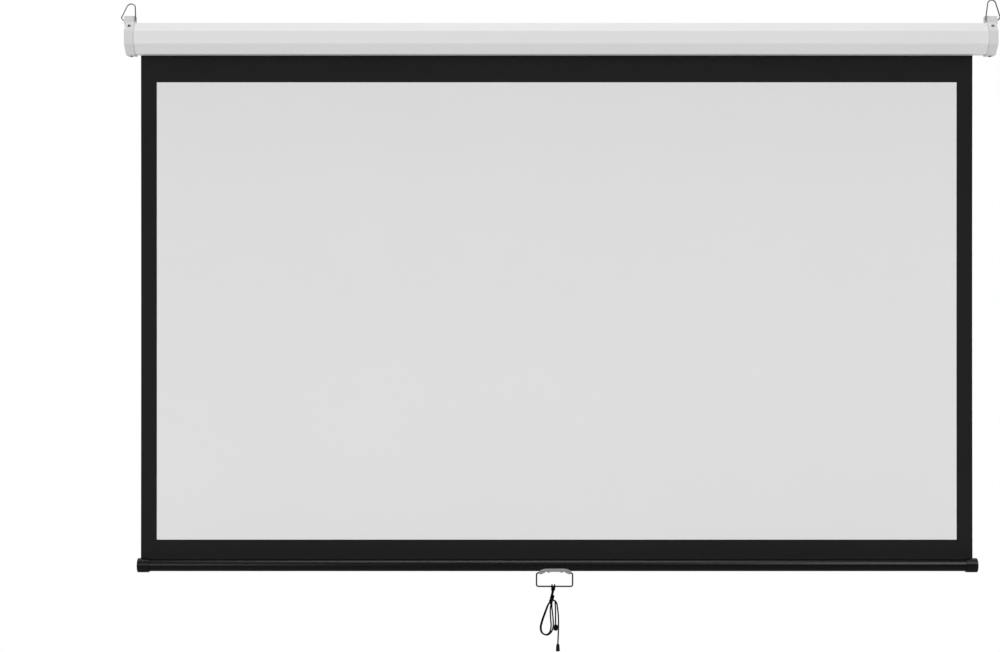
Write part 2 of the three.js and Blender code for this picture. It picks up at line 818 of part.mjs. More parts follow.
// The coil is one unbroken tube.
function springCoil() {
  const steps = springTurns * springStepsPerTurn;
  const rise = (springLength - 2 * springWire) / steps;
  const points = Array.from({ length: steps + 1 }, (_, i) => {
    const angle = (i * 2 * Math.PI) / springStepsPerTurn;
    return onRoller(springLeft + springWire + i * rise)
      .add(at(0, springRadius * Math.cos(angle), springRadius * Math.sin(angle)));
  });
  return coilTube(points, springWire, springSides);
}

// A tube of rings about a coil on the roller's axis, closed at both ends.
function coilTube(points, radius, sides) {
  const vertices = [];
  const faces = [];
  points.forEach((point, i) => {
    const outward = point.clone().sub(onRoller(point.x)).normalize();
    for (let k = 0; k < sides; k += 1) {
      const angle = (k * 2 * Math.PI) / sides;
      vertices.push(point.clone().addScaledVector(outward, radius * Math.cos(angle))
        .addScaledVector(rightward, radius * Math.sin(angle)));
      if (i === points.length - 1) continue;
      const next = (k + 1) % sides;
      const a = i * sides + k;
      const b = i * sides + next;
      faces.push(a, b, a + sides, b, b + sides, a + sides);
    }
  });
  const lastRing = (points.length - 1) * sides;
  for (let k = 1; k < sides - 1; k += 1) {
    faces.push(0, k + 1, k);
    faces.push(lastRing, lastRing + k, lastRing + k + 1);
  }
  const geometry = new THREE.BufferGeometry().setFromPoints(vertices);
  geometry.setIndex(faces);
  return geometry;
}

part('torsion_spring', springCoil(), springSteel);

// Sheet: a black backing with the matt white viewing surface on its front

part('screen_backing',
  block(sheetLeft, sheetRight, backingFront, sheetBack, whiteBottom, rollerZ), blackVinyl);
part('viewing_surface',
  block(sheetMiddle - whiteWidth / 2, sheetMiddle + whiteWidth / 2, sheetFront, backingFront,
    whiteBottom, -whiteTop), whiteVinyl);

// Bottom bar: hem, rod, slotted tube and end caps

const hemRodZ = barZ + hemRodRise;

function sheetHem() {
  const strip = block(sheetLeft, sheetRight, sheetFront, sheetFront + hemThickness,
    hemRodZ, whiteBottom);
  const pocketRadius = hemRodRadius + fit + hemThickness / 2;
  const axis = (x) => at(x, barY, hemRodZ);
  const pocket = rod(pocketRadius, axis(sheetLeft), rightward, sheetWidth);
  const bore = rod(hemRodRadius + fit, axis(sheetLeft - overrun), rightward,
    sheetWidth + 2 * overrun);
  return without(joined(strip, pocket), bore);
}

part('sheet_hem', sheetHem(), blackVinyl);
part('hem_rod', rod(hemRodRadius, at(sheetLeft + fit, barY, hemRodZ), rightward,
  sheetWidth - 2 * fit), zincSteel);

function barTube() {
  const opening = Math.asin(barSlot / 2 / barRadius);
  const sweep = 2 * Math.PI - 2 * opening;
  const outside = Array.from({ length: roundSides }, (_, i) => {
    const angle = Math.PI / 2 - opening - (sweep * i) / (roundSides - 1);
    return flat(barY + barRadius * Math.cos(angle), barZ + barRadius * Math.sin(angle));
  });
  const inside = offset(outside, barWall);
  const tube = prismX([...outside, ...inside.reverse()],
    barLeft + barCapWall + fit, barRight - barCapWall - fit);
  return without(solid(tube), ...saddleScrewHoles());
}

const saddleScrewX = [
  handleMiddle - saddleScrewSpacing / 2,
  handleMiddle + saddleScrewSpacing / 2,
];
const saddleBottom = barZ - barRadius - fit - saddleThickness;

function saddleScrewHoles() {
  return saddleScrewX.map((x) => rod(saddleScrewShank + fit,
    at(x, barY, saddleBottom - overrun), at(0, 0, 1),
    2 * overrun + saddleThickness + fit + barWall));
}

part('bar_tube', barTube(), blackSteel);

function barCap() {
  const bore = barRadius + fit;
  const quarter = Math.PI / 2;
  const edge = Array.from({ length: edgeSteps + 1 }, (_, i) => {
    const angle = (quarter * i) / edgeSteps;
    return [
      barCapRadius - barCapRound + barCapRound * Math.cos(angle),
      barCapLength - barCapRound + barCapRound * Math.sin(angle),
    ];
  });
  return [
    [0, barCapLength - barCapWall],
    [bore, barCapLength - barCapWall],
    [bore, 0],
    [barCapRadius, 0],
    ...edge,
    [0, barCapLength],
  ];
}

function slottedBarCap(inner, way, slotEnd) {
  const slot = block(Math.min(inner - way.x * overrun, slotEnd),
    Math.max(inner - way.x * overrun, slotEnd),
    barY - barSlot / 2, barY + barSlot / 2, barZ, barZ + barCapRadius + overrun);
  return without(solid(turned(barCap(), at(inner, barY, barZ), way)), slot);
}

part('bar_cap_left', slottedBarCap(barLeft + barCapLength, leftward, sheetLeft - hemSideGap),
  blackPlastic);
part('bar_cap_right', slottedBarCap(barRight - barCapLength, rightward, sheetRight + hemSideGap),
  blackPlastic);

// Handle: saddle plate with a rolled knuckle at each end, two screws, and a wire bail

function saddlePlate() {
  const inner = barRadius + fit;
  const outer = inner + saddleThickness;
  const left = handleMiddle - saddleLength / 2;
  const right = handleMiddle + saddleLength / 2;
  const ring = sleeve(inner, outer, at(left, barY, barZ), rightward, saddleLength, roundSides);
  const arch = Array.from({ length: archSteps + 1 }, (_, i) => {
    const reach = Math.cos((i * Math.PI) / archSteps);
    return flat(handleMiddle + (reach * saddleLength) / 2,
      barZ - saddleRise - saddleFall * reach ** saddleFlatness);
  });
  const across = (outline) => prismY(outline, barY - 2 * outer, barY + 2 * outer);
  const keep = across([...arch, flat(left, barZ - 2 * outer), flat(right, barZ - 2 * outer)]);
  const plate = solid(ring).intersect(solid(keep));
  const knuckle = (end, way) => {
    const tip = end + way.x * (knuckleLength + overrun);
    const heel = end + way.x * (knuckleLength - knuckleSlant.length);
    const under = knuckleZ - knuckleRadius;
    const rise = (knuckleSlant.height * (knuckleSlant.length + overrun)) / knuckleSlant.length;
    const slant = across([
      flat(heel, under), flat(tip, under + rise), flat(tip, under - overrun),
      flat(heel, under - overrun),
    ]);
    const barrel = rod(knuckleRadius, at(end, barY, knuckleZ), way, knuckleLength);
    return without(solid(barrel), slant);
  };
  const bore = rod(bailWire + fit, at(left - overrun, barY, knuckleZ), rightward,
    saddleLength + 2 * overrun);
  return without(
    plate.add(knuckle(left, rightward)).add(knuckle(right, leftward)),
    bore,
    ...saddleScrewHoles(),
  );
}

part('handle_saddle', saddlePlate(), greySteel);

saddleScrewX.forEach((x, i) => {
  const shankTop = saddleThickness + 2 * fit + barWall + saddleScrewLength;
  part(`saddle_screw_${i ? 'right' : 'left'}`, turned([
    [0, -saddleScrewHeadHeight],
    [saddleScrewHead * saddleScrewFlatShare, -saddleScrewHeadHeight],
    [saddleScrewHead, -saddleScrewHeadHeight / 2],
    [saddleScrewHead, 0],
    [saddleScrewShank, 0],
    [saddleScrewShank, shankTop],
    [0, shankTop],
  ], at(x, barY, saddleBottom - fit), at(0, 0, 1), boreSides), greySteel);
});

function bail() {
  const inside = saddleLength / 2 - bailGrip;
  const leg = bailWidth / 2;
  const corners = [
    [-inside, knuckleZ], [-leg, knuckleZ], [-leg, bailBottom],
    [leg, bailBottom], [leg, knuckleZ], [inside, knuckleZ],
  ].map(([x, z]) => at(handleMiddle - bailPlay + x, barY, z));
  return wire(filleted(corners, bailCorner, bendSteps), bailWire, wireSides);
}

part('handle_bail', bail(), greyWire);

// Pull cord: a hitch on the bail, a doubled stem, a knot, two loops and two tails

const cordY = barY;
const knotCentre = at(knotPlace.x, cordY, knotPlace.z);

function cordHitch() {
  const inner = bailWire + fit;
  const outer = inner + 2 * cordRadius;
  const round = (middle) => Array.from({ length: cordSides + 1 }, (_, i) => {
    const angle = (i * 2 * Math.PI) / cordSides;
    return [(inner + outer) / 2 + cordRadius * Math.cos(angle),
      middle + cordRadius * Math.sin(angle)];
  });
  const axis = (x) => at(x, cordY, bailBottom);
  const turns = [-hitchSpread, hitchSpread].map((side) =>
    turned(round(0), axis(hitchMiddle + side), rightward, boreSides));
  const bight = rod(cordRadius, at(hitchMiddle - hitchSpread - cordRadius,
    cordY - outer, bailBottom - cordRadius), rightward, 2 * (hitchSpread + cordRadius));
  const wireRoom = rod(inner, axis(hitchMiddle - 2 * outer), rightward, 4 * outer);
  return without(joined(...turns, bight), wireRoom);
}

part('cord_hitch', cordHitch(), blackCord);

// A knot drawn tight, as a ball.
function knotBall(centre, radius) {
  return new THREE.SphereGeometry(radius, boreSides, boreSides / 2)
    .translate(centre.x, centre.y, centre.z);
}

part('cord_knot', knotBall(knotCentre, knotRadius), blackCord);

// Ways that the strands leave the knot, as (x, y, z); each strand starts square to it.
const leave = (x, y, z) => {
  const way = at(x, y, z).normalize();
  return [
    knotCentre.clone().addScaledVector(way, knotRadius + fit),
    knotCentre.clone().addScaledVector(way, knotRadius + fit + 2 * cordRadius),
  ];
};

const hitchFoot = bailBottom - bailWire - 2 * cordRadius - 2 * fit;
const endKnot = at(endKnotPlace.x, cordY - endKnotPlace.ahead, endKnotPlace.z);
const tipTop = at(tipPlace.x, cordY + tipPlace.behind, tipPlace.z);

// Each strand's points, in the order the cord runs, with y measured from the stem.
const drop = (x, y, z) => at(x, cordY + y, z);
const strands = {
  cord_stem_left: [
    drop(-18.7, 0.9, hitchFoot), drop(-18.7, 0.9, hitchFoot - 2.6), drop(-19.3, 0.3, -1327),
    ...leave(-0.08, -0.28, 1).reverse(),
  ],
  cord_stem_right: [
    drop(-15.8, 0.9, hitchFoot), drop(-15.8, 1, hitchFoot - 2.6), drop(-16.9, 1.9, -1327),
    ...leave(0.2, 0.28, 1).reverse(),
  ],
  cord_loop_front: [
    ...leave(-0.62, -0.27, -0.8), drop(-29.6, -3.1, -1356), drop(-37, -3.3, -1374.5),
    drop(-43.6, -3.3, -1393), drop(-46.9, -3.2, -1409.5), drop(-43.2, -3, -1420.8),
    drop(-34, -2.9, -1424.9), drop(-25.5, -2.9, -1419.8), drop(-22, -2.9, -1406.5),
    drop(-22.8, -2.9, -1388), drop(-23.6, -2.9, -1368), ...leave(-0.16, -0.27, -1).reverse(),
  ],
  cord_loop_back: [
    ...leave(-0.55, 0.32, -0.85), drop(-28.2, 2.2, -1356.5), drop(-34.8, 2, -1374.5),
    drop(-41.3, 1.8, -1393), drop(-44.9, 1.6, -1409.5), drop(-41.5, 1.6, -1421.8),
    drop(-32, 1.6, -1426.6), drop(-22.5, 1.6, -1421.2), drop(-17.2, 1.6, -1409),
    drop(-16.6, 1.6, -1396), drop(-18.1, 1.8, -1378), drop(-19.8, 2, -1362),
    ...leave(0.06, 0.32, -1).reverse(),
  ],
  cord_tail_short: [
    ...leave(0.84, -0.3, -0.42), drop(-12.4, -3, -1352.5), drop(-11.6, -3.4, -1364),
    drop(-11.5, -4, -1384), drop(-11.5, -4.2, -1398),
    endKnot.clone().add(at(0, 0, endKnotRadius + fit)),
  ],
  cord_tail_long: [
    ...leave(0.84, 0.3, -0.42), drop(-9.2, 1.9, -1351.5), drop(-6.6, 1.6, -1364),
    drop(-4.8, 1.2, -1384), drop(-4.5, 1, -1404), drop(-5, 0.8, -1424),
    drop(-5.8, 0.8, -1442.4), tipTop.clone().add(at(0, 0, fit)),
  ],
};

function cordStrand(points) {
  const curve = new THREE.CatmullRomCurve3(points, false, 'centripetal');
  const steps = Math.max(3, Math.round(curve.getLength() / cordStep));
  const section = new THREE.Shape(circle(0, 0, cordRadius, cordSides));
  return new THREE.ExtrudeGeometry(section, { steps, bevelEnabled: false, extrudePath: curve });
}

for (const [name, points] of Object.entries(strands)) {
  part(name, cordStrand(points), blackCord);
}

part('cord_end_knot', knotBall(endKnot, endKnotRadius), blackCord);

part('cord_tip', turned([
  [0, 0],
  [tipTopRadius, 0],
  [tipShoulderRadius * tipCrownShare, tipLength * tipDropShares.crown],
  [tipShoulderRadius, tipLength * tipDropShares.shoulder],
  [tipBottomRadius, tipLength],
  [tipMouthRadius, tipLength],
  [tipMouthRadius * tipBoreShare, tipLength * tipDropShares.mouth],
  [0, tipLength * tipDropShares.mouth],
], tipTop, downward, boreSides), blackPlastic);

// Least gap of each looped strand to itself, measured between points one cord radius apart
const neighbours = 5; // points along the curve that are too near in length to count
for (const [name, points] of Object.entries(strands)) {
  if (!name.includes('loop')) continue;
  const curve = new THREE.CatmullRomCurve3(points, false, 'centripetal');
  const samples = curve.getSpacedPoints(Math.round(curve.getLength() / cordRadius));
  let least = Infinity;
  samples.forEach((point, i) => {
    for (let k = i + neighbours; k < samples.length; k += 1) {
      least = Math.min(least, point.distanceTo(samples[k]) - 2 * cordRadius);
    }
  });
  console.log(`${name}: length ${curve.getLength().toFixed(1)} mm, least gap to itself ${
    least.toFixed(2)} mm`);
}

export default screen;
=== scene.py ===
"""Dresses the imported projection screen. Lengths are metres in the part's own frame: X along the
case, Y into the wall, Z up, and the origin level with the keyhole seats on the wall plane."""

import json
import math
from collections import namedtuple

import bpy
from bpy.props import FloatProperty, FloatVectorProperty, IntProperty, PointerProperty
from bpy.types import Operator, Panel, PropertyGroup
from mathutils import Matrix, Vector


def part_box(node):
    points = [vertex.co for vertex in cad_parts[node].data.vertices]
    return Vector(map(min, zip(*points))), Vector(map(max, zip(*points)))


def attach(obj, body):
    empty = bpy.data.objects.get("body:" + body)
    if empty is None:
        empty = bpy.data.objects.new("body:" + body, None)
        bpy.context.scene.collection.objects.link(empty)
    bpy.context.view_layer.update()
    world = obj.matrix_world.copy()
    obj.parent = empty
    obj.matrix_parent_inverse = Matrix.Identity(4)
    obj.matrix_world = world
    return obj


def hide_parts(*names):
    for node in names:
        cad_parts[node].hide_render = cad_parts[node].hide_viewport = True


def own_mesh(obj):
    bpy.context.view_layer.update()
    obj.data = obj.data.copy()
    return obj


bl_info = {
    "name": "Pull-down projection screen",
    "version": (1, 0, 0),
    "blender": (4, 5, 0),
    "location": "View3D > Sidebar > Screen",
    "description": "Finishes the case, roller, sheet, bottom bar, handle and pull cord",
    "category": "Object",
}

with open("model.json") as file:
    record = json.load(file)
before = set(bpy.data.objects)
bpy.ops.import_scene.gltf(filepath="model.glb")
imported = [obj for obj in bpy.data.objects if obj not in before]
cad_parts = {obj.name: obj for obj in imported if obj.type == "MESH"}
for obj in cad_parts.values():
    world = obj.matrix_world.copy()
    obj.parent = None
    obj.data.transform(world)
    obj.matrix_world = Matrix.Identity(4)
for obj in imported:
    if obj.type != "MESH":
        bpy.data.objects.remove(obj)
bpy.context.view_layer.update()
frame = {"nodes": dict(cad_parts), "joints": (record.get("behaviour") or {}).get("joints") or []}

MM = 0.001
FIT = 0.3 * MM  # clearance between pieces that touch or turn on each other
TURN = 2 * math.pi

# Places that the CAD solids give
roller_low, roller_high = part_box("roller_tube")
wrap_low, wrap_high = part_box("sheet_wrap")
backing_low, backing_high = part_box("screen_backing")
white_low, white_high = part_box("viewing_surface")
hem_low, hem_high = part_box("sheet_hem")
rod_low, rod_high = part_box("hem_rod")
bail_low, bail_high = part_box("handle_bail")
tip_low, tip_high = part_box("cord_tip")
bar_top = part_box("bar_tube")[1].z

roller_axis = (roller_low + roller_high) / 2


def joint(name):
    """What the frame says of a joint."""
    return next(j for j in frame["joints"] if j["name"] == name)


# Points on the axes that the handle and the cord swing about
bail_axis = Vector(joint("bail_swing")["pos_m"])
cord_axis = Vector(joint("cord_swing")["pos_m"])


# Sizes and colours that a user would change


def length(name, description, default):
    """A length that shows in scene units."""
    return FloatProperty(
        name=name, description=description, default=default, unit="LENGTH", precision=5
    )


def colour(name, description, default):
    """A colour, given as red, green and blue from 0 to 1."""
    return FloatVectorProperty(
        name=name, description=description, default=default, subtype="COLOR", min=0, max=1
    )


def share(name, description, default):
    """A share from 0 to 1."""
    return FloatProperty(
        name=name, description=description, default=default, subtype="FACTOR", min=0, max=1
    )


class SheetSettings(PropertyGroup):
    """The hanging sheet."""

    white: colour("Picture area", "Colour of the matt white coating", (0.76, 0.76, 0.76))
    black: colour("Border", "Colour of the black border and back", (0.0128, 0.0128, 0.0132))
    ripple: length("Ripple", "Depth of the shallow waves in the hanging sheet", 0.8 * MM)
    curl: length("Edge curl", "How far the side edges bend back at mid height", 1.4 * MM)
    curl_width: length("Curl width", "Width of the curled strip along each side", 60 * MM)
    thread: length("Thread pitch", "Distance between threads of the base cloth", 0.55 * MM)


class CaseSettings(PropertyGroup):
    """The case and its end caps."""

    paint: colour("Paint", "Colour of the case's powder coat", (0.755, 0.755, 0.755))
    plastic: colour("Caps", "Colour of the moulded end caps", (0.665, 0.665, 0.665))
    peel: length("Orange peel", "Spacing of the ripples in the paint", 1.4 * MM)
    grain: length("Mould grain", "Spacing of the mould's fine grain", 0.5 * MM)


class FittingSettings(PropertyGroup):
    """Screws, rings, lock and spring."""

    chrome: colour("Chrome", "Colour of the hanger rings", (0.44, 0.44, 0.45))
    zinc: colour("Zinc", "Colour of the cap screws", (0.55, 0.55, 0.54))
    steel: colour("Steel", "Colour of the lock, spindle and pins", (0.45, 0.45, 0.43))
    spring: colour("Spring", "Colour of the spring wire", (0.16, 0.16, 0.15))
    nylon: colour("Nylon", "Colour of the plugs and bush", (0.78, 0.75, 0.66))
    aluminium: colour("Aluminium", "Colour of the roller tube", (0.6, 0.6, 0.61))
    # The recess colour is painted shade: it stands for the shade down in each screw's cross recess
    recess: colour("Recess", "Colour down in a cross recess", (0.03, 0.03, 0.03))
    wire: length("Ring wire", "Radius of the hanger rings' wire", 1.5 * MM)
    sides: IntProperty(name="Sides", description="Sides of a round section", default=28, min=8)


class BarSettings(PropertyGroup):
    """Bottom bar and handle."""

    paint: colour("Bar", "Colour of the bar's powder coat", (0.006, 0.006, 0.0065))
    plastic: colour("Bar caps", "Colour of the bar's moulded caps", (0.007, 0.007, 0.007))
    saddle: colour("Saddle", "Colour of the pressed saddle", (0.46, 0.46, 0.46))
    bail: colour("Bail", "Colour of the handle's wire", (0.12, 0.12, 0.12))
    wire: length("Bail wire", "Radius of the handle's wire", 1.75 * MM)


class CordSettings(PropertyGroup):
    """The pull cord."""

    colour: colour("Cord", "Colour of the braid", (0.003, 0.003, 0.003))
    bell: colour("Bell", "Colour of the moulded bell", (0.005, 0.005, 0.005))
    radius: length("Radius", "Radius of the cord", 1.7 * MM)
    braid: length("Braid", "Length along the cord of one crossing of the braid", 1.9 * MM)
    relief: length("Relief", "Depth of the furrows between the strands", 0.08 * MM)
    strands: IntProperty(
        name="Strands", description="Strands that run round each way", default=6, min=3
    )


class StageSettings(PropertyGroup):
    """Camera, light and floor."""

    lens: FloatProperty(
        name="Lens", description="Focal length in millimetres", default=63.46, min=10
    )
    distance: length("Distance", "From the camera to the sheet", 4.1)
    across: length("Across", "Camera's place along the case", -0.1406)
    height: length("Height", "Camera's height above the origin", -0.7075)
    sky: share("Surroundings", "Light that the white surroundings shed", 0.8)
    dim: share("Dim side", "Level of the dim room that gloss shows in front of the screen", 0.03)
    side: share("Side dimming", "How much less soft light comes along the case", 0.7)
    lift: share("Light from below", "How much more soft light comes from below", 0.05)
    front: FloatProperty(name="Front light", description="Strength", default=0.84, min=0)
    over: FloatProperty(name="Upper light", description="Strength", default=0.88, min=0)
    floor: length("Floor", "Height of the floor below the origin", -2.0)
    reach: length("Floor radius", "Radius of the floor", 2.45)


# Materials


class Field:
    """A shader value. Python's operators on it add Math nodes to its material."""

    def __init__(self, finish, socket):
        self.finish, self.socket = finish, socket

    def maths(self, operation, *values):
        inputs = dict(enumerate(values))
        return self.finish.node("ShaderNodeMath", {"operation": operation}, inputs)

    def __add__(self, other):
        return self.maths("ADD", self, other)

    __radd__ = __add__

    def __sub__(self, other):
        return self.maths("SUBTRACT", self, other)

    def __rsub__(self, other):
        return self.maths("SUBTRACT", other, self)

    def __mul__(self, other):
        return self.maths("MULTIPLY", self, other)

    __rmul__ = __mul__

    def most(self, other):
        return self.maths("MAXIMUM", self, other)

    def __abs__(self):
        return self.maths("ABSOLUTE", self)

    def wave(self, pitch):
        """A sine wave of the given pitch, from -1 to 1."""
        return self.maths("SINE", self * (TURN / pitch))


class Shades:
    """A tree of shader nodes."""

    def __init__(self, tree):
        self.tree = tree

    def node(self, kind, settings=(), inputs=(), output=0):
        """Adds a node, with its settings first, then the values or links of its sockets."""
        made = self.tree.nodes.new(kind)
        for name, value in dict(settings).items():
            setattr(made, name, value)
        for name, value in dict(inputs).items():
            if isinstance(value, Field):
                self.tree.links.new(value.socket, made.inputs[name])
            else:
                made.inputs[name].default_value = value
        return Field(self, made.outputs[output]) if made.outputs else None

    def ramp(self, value, low, high):
        """A smooth rise from 0 to 1 between two values."""
        return self.node(
            "ShaderNodeMapRange",
            {"interpolation_type": "SMOOTHSTEP"},
            {"Value": value, "From Min": low, "From Max": high},
        )

    def band(self, value, low, high, edge):
        """1 between two values, with a soft edge outside each."""
        return self.ramp(value, low - edge, low) * (1 - self.ramp(value, high, high + edge))


class Finish(Shades):
    """A material for one of the screen's finishes, built from nodes."""

    def __init__(self, name):
        self.material = bpy.data.materials.new(name)
        self.material.use_nodes = True
        super().__init__(self.material.node_tree)
        self.tree.nodes.clear()
        self.place = self.node("ShaderNodeTexCoord", output="Object")

    def noise(self, pitch, detail=2.0, stretch=(1, 1, 1)):
        """Soft noise from 0 to 1 whose features are about one pitch across."""
        scaled = self.node(
            "ShaderNodeVectorMath", {"operation": "MULTIPLY"}, {0: self.place, 1: stretch}
        )
        return self.node(
            "ShaderNodeTexNoise", (), {"Vector": scaled, "Scale": 1 / pitch, "Detail": detail}
        )

    def vector(self, operation, *values, output="Vector"):
        """One step of vector maths."""
        inputs = dict(enumerate(values))
        return self.node("ShaderNodeVectorMath", {"operation": operation}, inputs, output)

    def along(self, axis):
        """The place along X, Y or Z in metres."""
        return self.node("ShaderNodeSeparateXYZ", (), {0: self.place}, output=axis)

    def mix(self, amount, first, second):
        """A colour between two, by an amount that changes over the surface."""
        return self.node(
            "ShaderNodeMix",
            {"data_type": "RGBA"},
            {0: amount, 6: tinted(first), 7: tinted(second)},
            output=2,
        )

    def varied(self, amount, tint, less, more):
        """A colour that wanders from a little darker to a little lighter."""
        return self.mix(amount, shaded(tint, -less), shaded(tint, more))

    def bump(self, height, depth):
        """A normal that leans as if the surface rose by depth where the height is 1."""
        return self.node(
            "ShaderNodeBump", (), {"Height": height, "Strength": 1.0, "Distance": depth}
        )

    def surface(self, **inputs):
        """Ends the material in one shader and gives it back."""
        named = {name.replace("_", " "): value for name, value in inputs.items()}
        shader = self.node("ShaderNodeBsdfPrincipled", (), named)
        self.node("ShaderNodeOutputMaterial", (), {"Surface": shader})
        return self.material


def tinted(colour):
    """A colour for a socket: a link as it is, or red, green and blue with a solid alpha."""
    return colour if isinstance(colour, Field) else (*colour, 1)


def shaded(tint, amount):
    """A colour made lighter or darker by an amount."""
    return tuple(min(1, max(0, c * (1 + amount))) for c in tint)


def powder_coat(name, tint, gloss, pitch, specular=0.5):
    """Sprayed powder with orange peel and a faint change of tone along the piece."""
    finish = Finish(name)
    tone = finish.noise(90 * MM, 3.0, (0.35, 1, 1))
    peel = finish.noise(pitch, 1.0)
    specks = finish.noise(pitch / 5, 2.0)
    return finish.surface(
        Base_Color=finish.varied(tone, tint, 0.025, 0.025),
        Roughness=gloss + 0.1 * (specks - 0.5),
        Specular_IOR_Level=specular,
        Normal=finish.bump(peel + 0.2 * specks, pitch * 0.02),
    )


def moulded(name, tint, gloss, pitch, specular=0.5):
    """Moulded plastic with a fine spark-eroded grain and faint flow marks."""
    finish = Finish(name)
    flow = finish.noise(18 * MM, 4.0, (1, 0.4, 0.4))
    grain = finish.noise(pitch, 3.0)
    return finish.surface(
        Base_Color=finish.varied(flow, tint, 0.03, 0.03),
        Roughness=gloss + 0.16 * (grain - 0.5) + 0.05 * (flow - 0.5),
        Specular_IOR_Level=specular,
        Normal=finish.bump(grain, pitch * 0.07),
    )


STAIN_PITCH = 6 * MM  # of the slight stains on metal
STAIN_TONES = (0.12, 0.08)  # how much darker and lighter they are


def bright_metal(name, tint, gloss, stretch, depth=0.004 * MM, metallic=1.0):
    """Bare or plated metal with drawn or turned lines and slight stains."""
    finish = Finish(name)
    lines = finish.noise(0.35 * MM, 3.0, stretch)
    stain = finish.noise(STAIN_PITCH, 3.0)
    return finish.surface(
        Base_Color=finish.varied(stain, tint, *STAIN_TONES),
        Metallic=metallic,
        Roughness=gloss + 0.12 * (lines - 0.5) + 0.1 * (stain - 0.5),
        Normal=finish.bump(lines, depth),
    )


def screw_metal_with_recess_shade(name, tint, gloss, recess, places, way, deep, reach):
    """Plated metal with painted shade down in a cross recess at each of some places."""
    finish = Finish(name)
    stain = finish.noise(STAIN_PITCH, 3.0)
    recess_shade = 0
    # Painted shade: 1 down in each cross recess, below a height and within a reach of the screw's
    # middle
    for place in places:
        from_seat = finish.vector("SUBTRACT", finish.place, tuple(place))
        height = finish.vector("DOT_PRODUCT", from_seat, tuple(way), output="Value")
        aside = finish.vector("CROSS_PRODUCT", from_seat, tuple(way))
        radius = finish.vector("LENGTH", aside, output="Value")
        inside = 1 - finish.ramp(radius, reach * 0.85, reach)
        recess_shade = recess_shade + inside * (1 - finish.ramp(height, deep - 0.35 * MM, deep))
    plate = finish.varied(stain, tint, *STAIN_TONES)
    return finish.surface(
        Base_Color=finish.mix(recess_shade, plate, recess),
        Metallic=1.0,
        Roughness=gloss + 0.1 * (stain - 0.5),
    )


def coated_cloth(name, tint, gloss, pitch, spread, depth):
    """Coated cloth: the weave shows through the coat, with fine beads in it."""
    finish = Finish(name)
    warp = abs(finish.along(0).wave(2 * pitch))
    weft = abs((finish.along(1) + finish.along(2)).wave(2 * pitch))
    beads = finish.noise(pitch * 0.6, 2.0)
    tone = finish.noise(260 * MM, 2.0)
    cloud = finish.noise(7 * MM, 4.0)
    amount = 0.7 * tone + 0.3 * cloud
    return finish.surface(
        Base_Color=finish.varied(amount, tint, spread, spread),
        Roughness=gloss + 0.1 * (beads - 0.5),
        Specular_IOR_Level=0.2,
        Normal=finish.bump(warp * weft + 0.5 * beads, depth),
    )


def cord_cloth(name, tint):
    """Braided polyester with fine filaments along the strands."""
    finish = Finish(name)
    hair = finish.noise(0.12 * MM, 2.0, (1, 1, 0.3))
    tone = finish.noise(4 * MM, 3.0)
    return finish.surface(
        Base_Color=finish.varied(0.5 * hair + 0.5 * tone, tint, 0.5, 1.2),
        Roughness=0.78 + 0.2 * (hair - 0.5),
        Specular_IOR_Level=0.12,
        Normal=finish.bump(hair, 0.03 * MM),
    )


def finish_named(name, make, *facts):
    """The material of that name, made the first time it is asked for."""
    return bpy.data.materials.get(name) or make(name, *facts)


# Mesh helpers


def smooth(mesh, angle=32):
    """Rounds the shading but keeps edges that turn by more than the angle in degrees."""
    mesh.shade_smooth()
    mesh.set_sharp_from_angle(angle=math.radians(angle))


def piece(name, shape, body, material, replaces=(), angle=32):
    """Makes an object from (vertices, faces) that rides on a body and stands for CAD nodes."""
    mesh = bpy.data.meshes.new(name)
    mesh.from_pydata(shape[0], [], shape[1])
    mesh.materials.append(material)
    smooth(mesh, angle)
    made = bpy.data.objects.new(name, mesh)
    bpy.context.scene.collection.objects.link(made)
    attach(made, body)
    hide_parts(*replaces)
    return made


def dress(material, *nodes):
    """Gives CAD nodes a finish, and shades their rounded faces smoothly."""
    for node in nodes:
        mesh = frame["nodes"][node].data
        if "custom_normal" in mesh.attributes:
            mesh.attributes.remove(mesh.attributes["custom_normal"])
        mesh.materials.clear()
        mesh.materials.append(material)
        smooth(mesh)


def together(*shapes):
    """Several shapes as one."""
    vertices, faces = [], []
    for more, joined in shapes:
        start = len(vertices)
        vertices.extend(more)
        faces.extend(tuple(i + start for i in face) for face in joined)
    return vertices, faces


def skin(rings, closed=False):
    """Faces between rings of equal length, with a face over each end unless it is closed."""
    size, count = len(rings[0]), len(rings)
    vertices = [point for ring in rings for point in ring]
    faces = []
    for i in range(count if closed else count - 1):
        low, high = i * size, ((i + 1) % count) * size
        for k in range(size):
            n = (k + 1) % size
            faces.append((low + k, low + n, high + n, high + k))
    if not closed:
        faces.append(tuple(reversed(range(size))))
        faces.append(tuple(range((count - 1) * size, count * size)))
    return vertices, faces


def angles(sides):
    """The angles of the points of an even ring."""
    return [TURN * k / sides for k in range(sides)]


def square_to(way):
    """A way made one long, and two more that are square to it and to each other."""
    way = Vector(way).normalized()
    side = way.orthogonal().normalized()
    return way, side, way.cross(side)


def about(seat, axes, far, radius, angle):
    """The point at a distance along a line from its seat, and a radius and an angle off it."""
    way, side, third = axes
    return Vector(seat) + way * far + (side * math.cos(angle) + third * math.sin(angle)) * radius


def round_x(x, y, z, radius, angle):
    """The point at a radius and an angle from a line along X."""
    return Vector((x, y + radius * math.cos(angle), z + radius * math.sin(angle)))


def lathe(profile, origin, way, sides=48):
    """Turns (radius, distance) points about a line. Radii of zero close the ends."""
    axes = square_to(way)
    return skin([
        [about(origin, axes, far, radius, a) for a in angles(sides)] for radius, far in profile
    ])


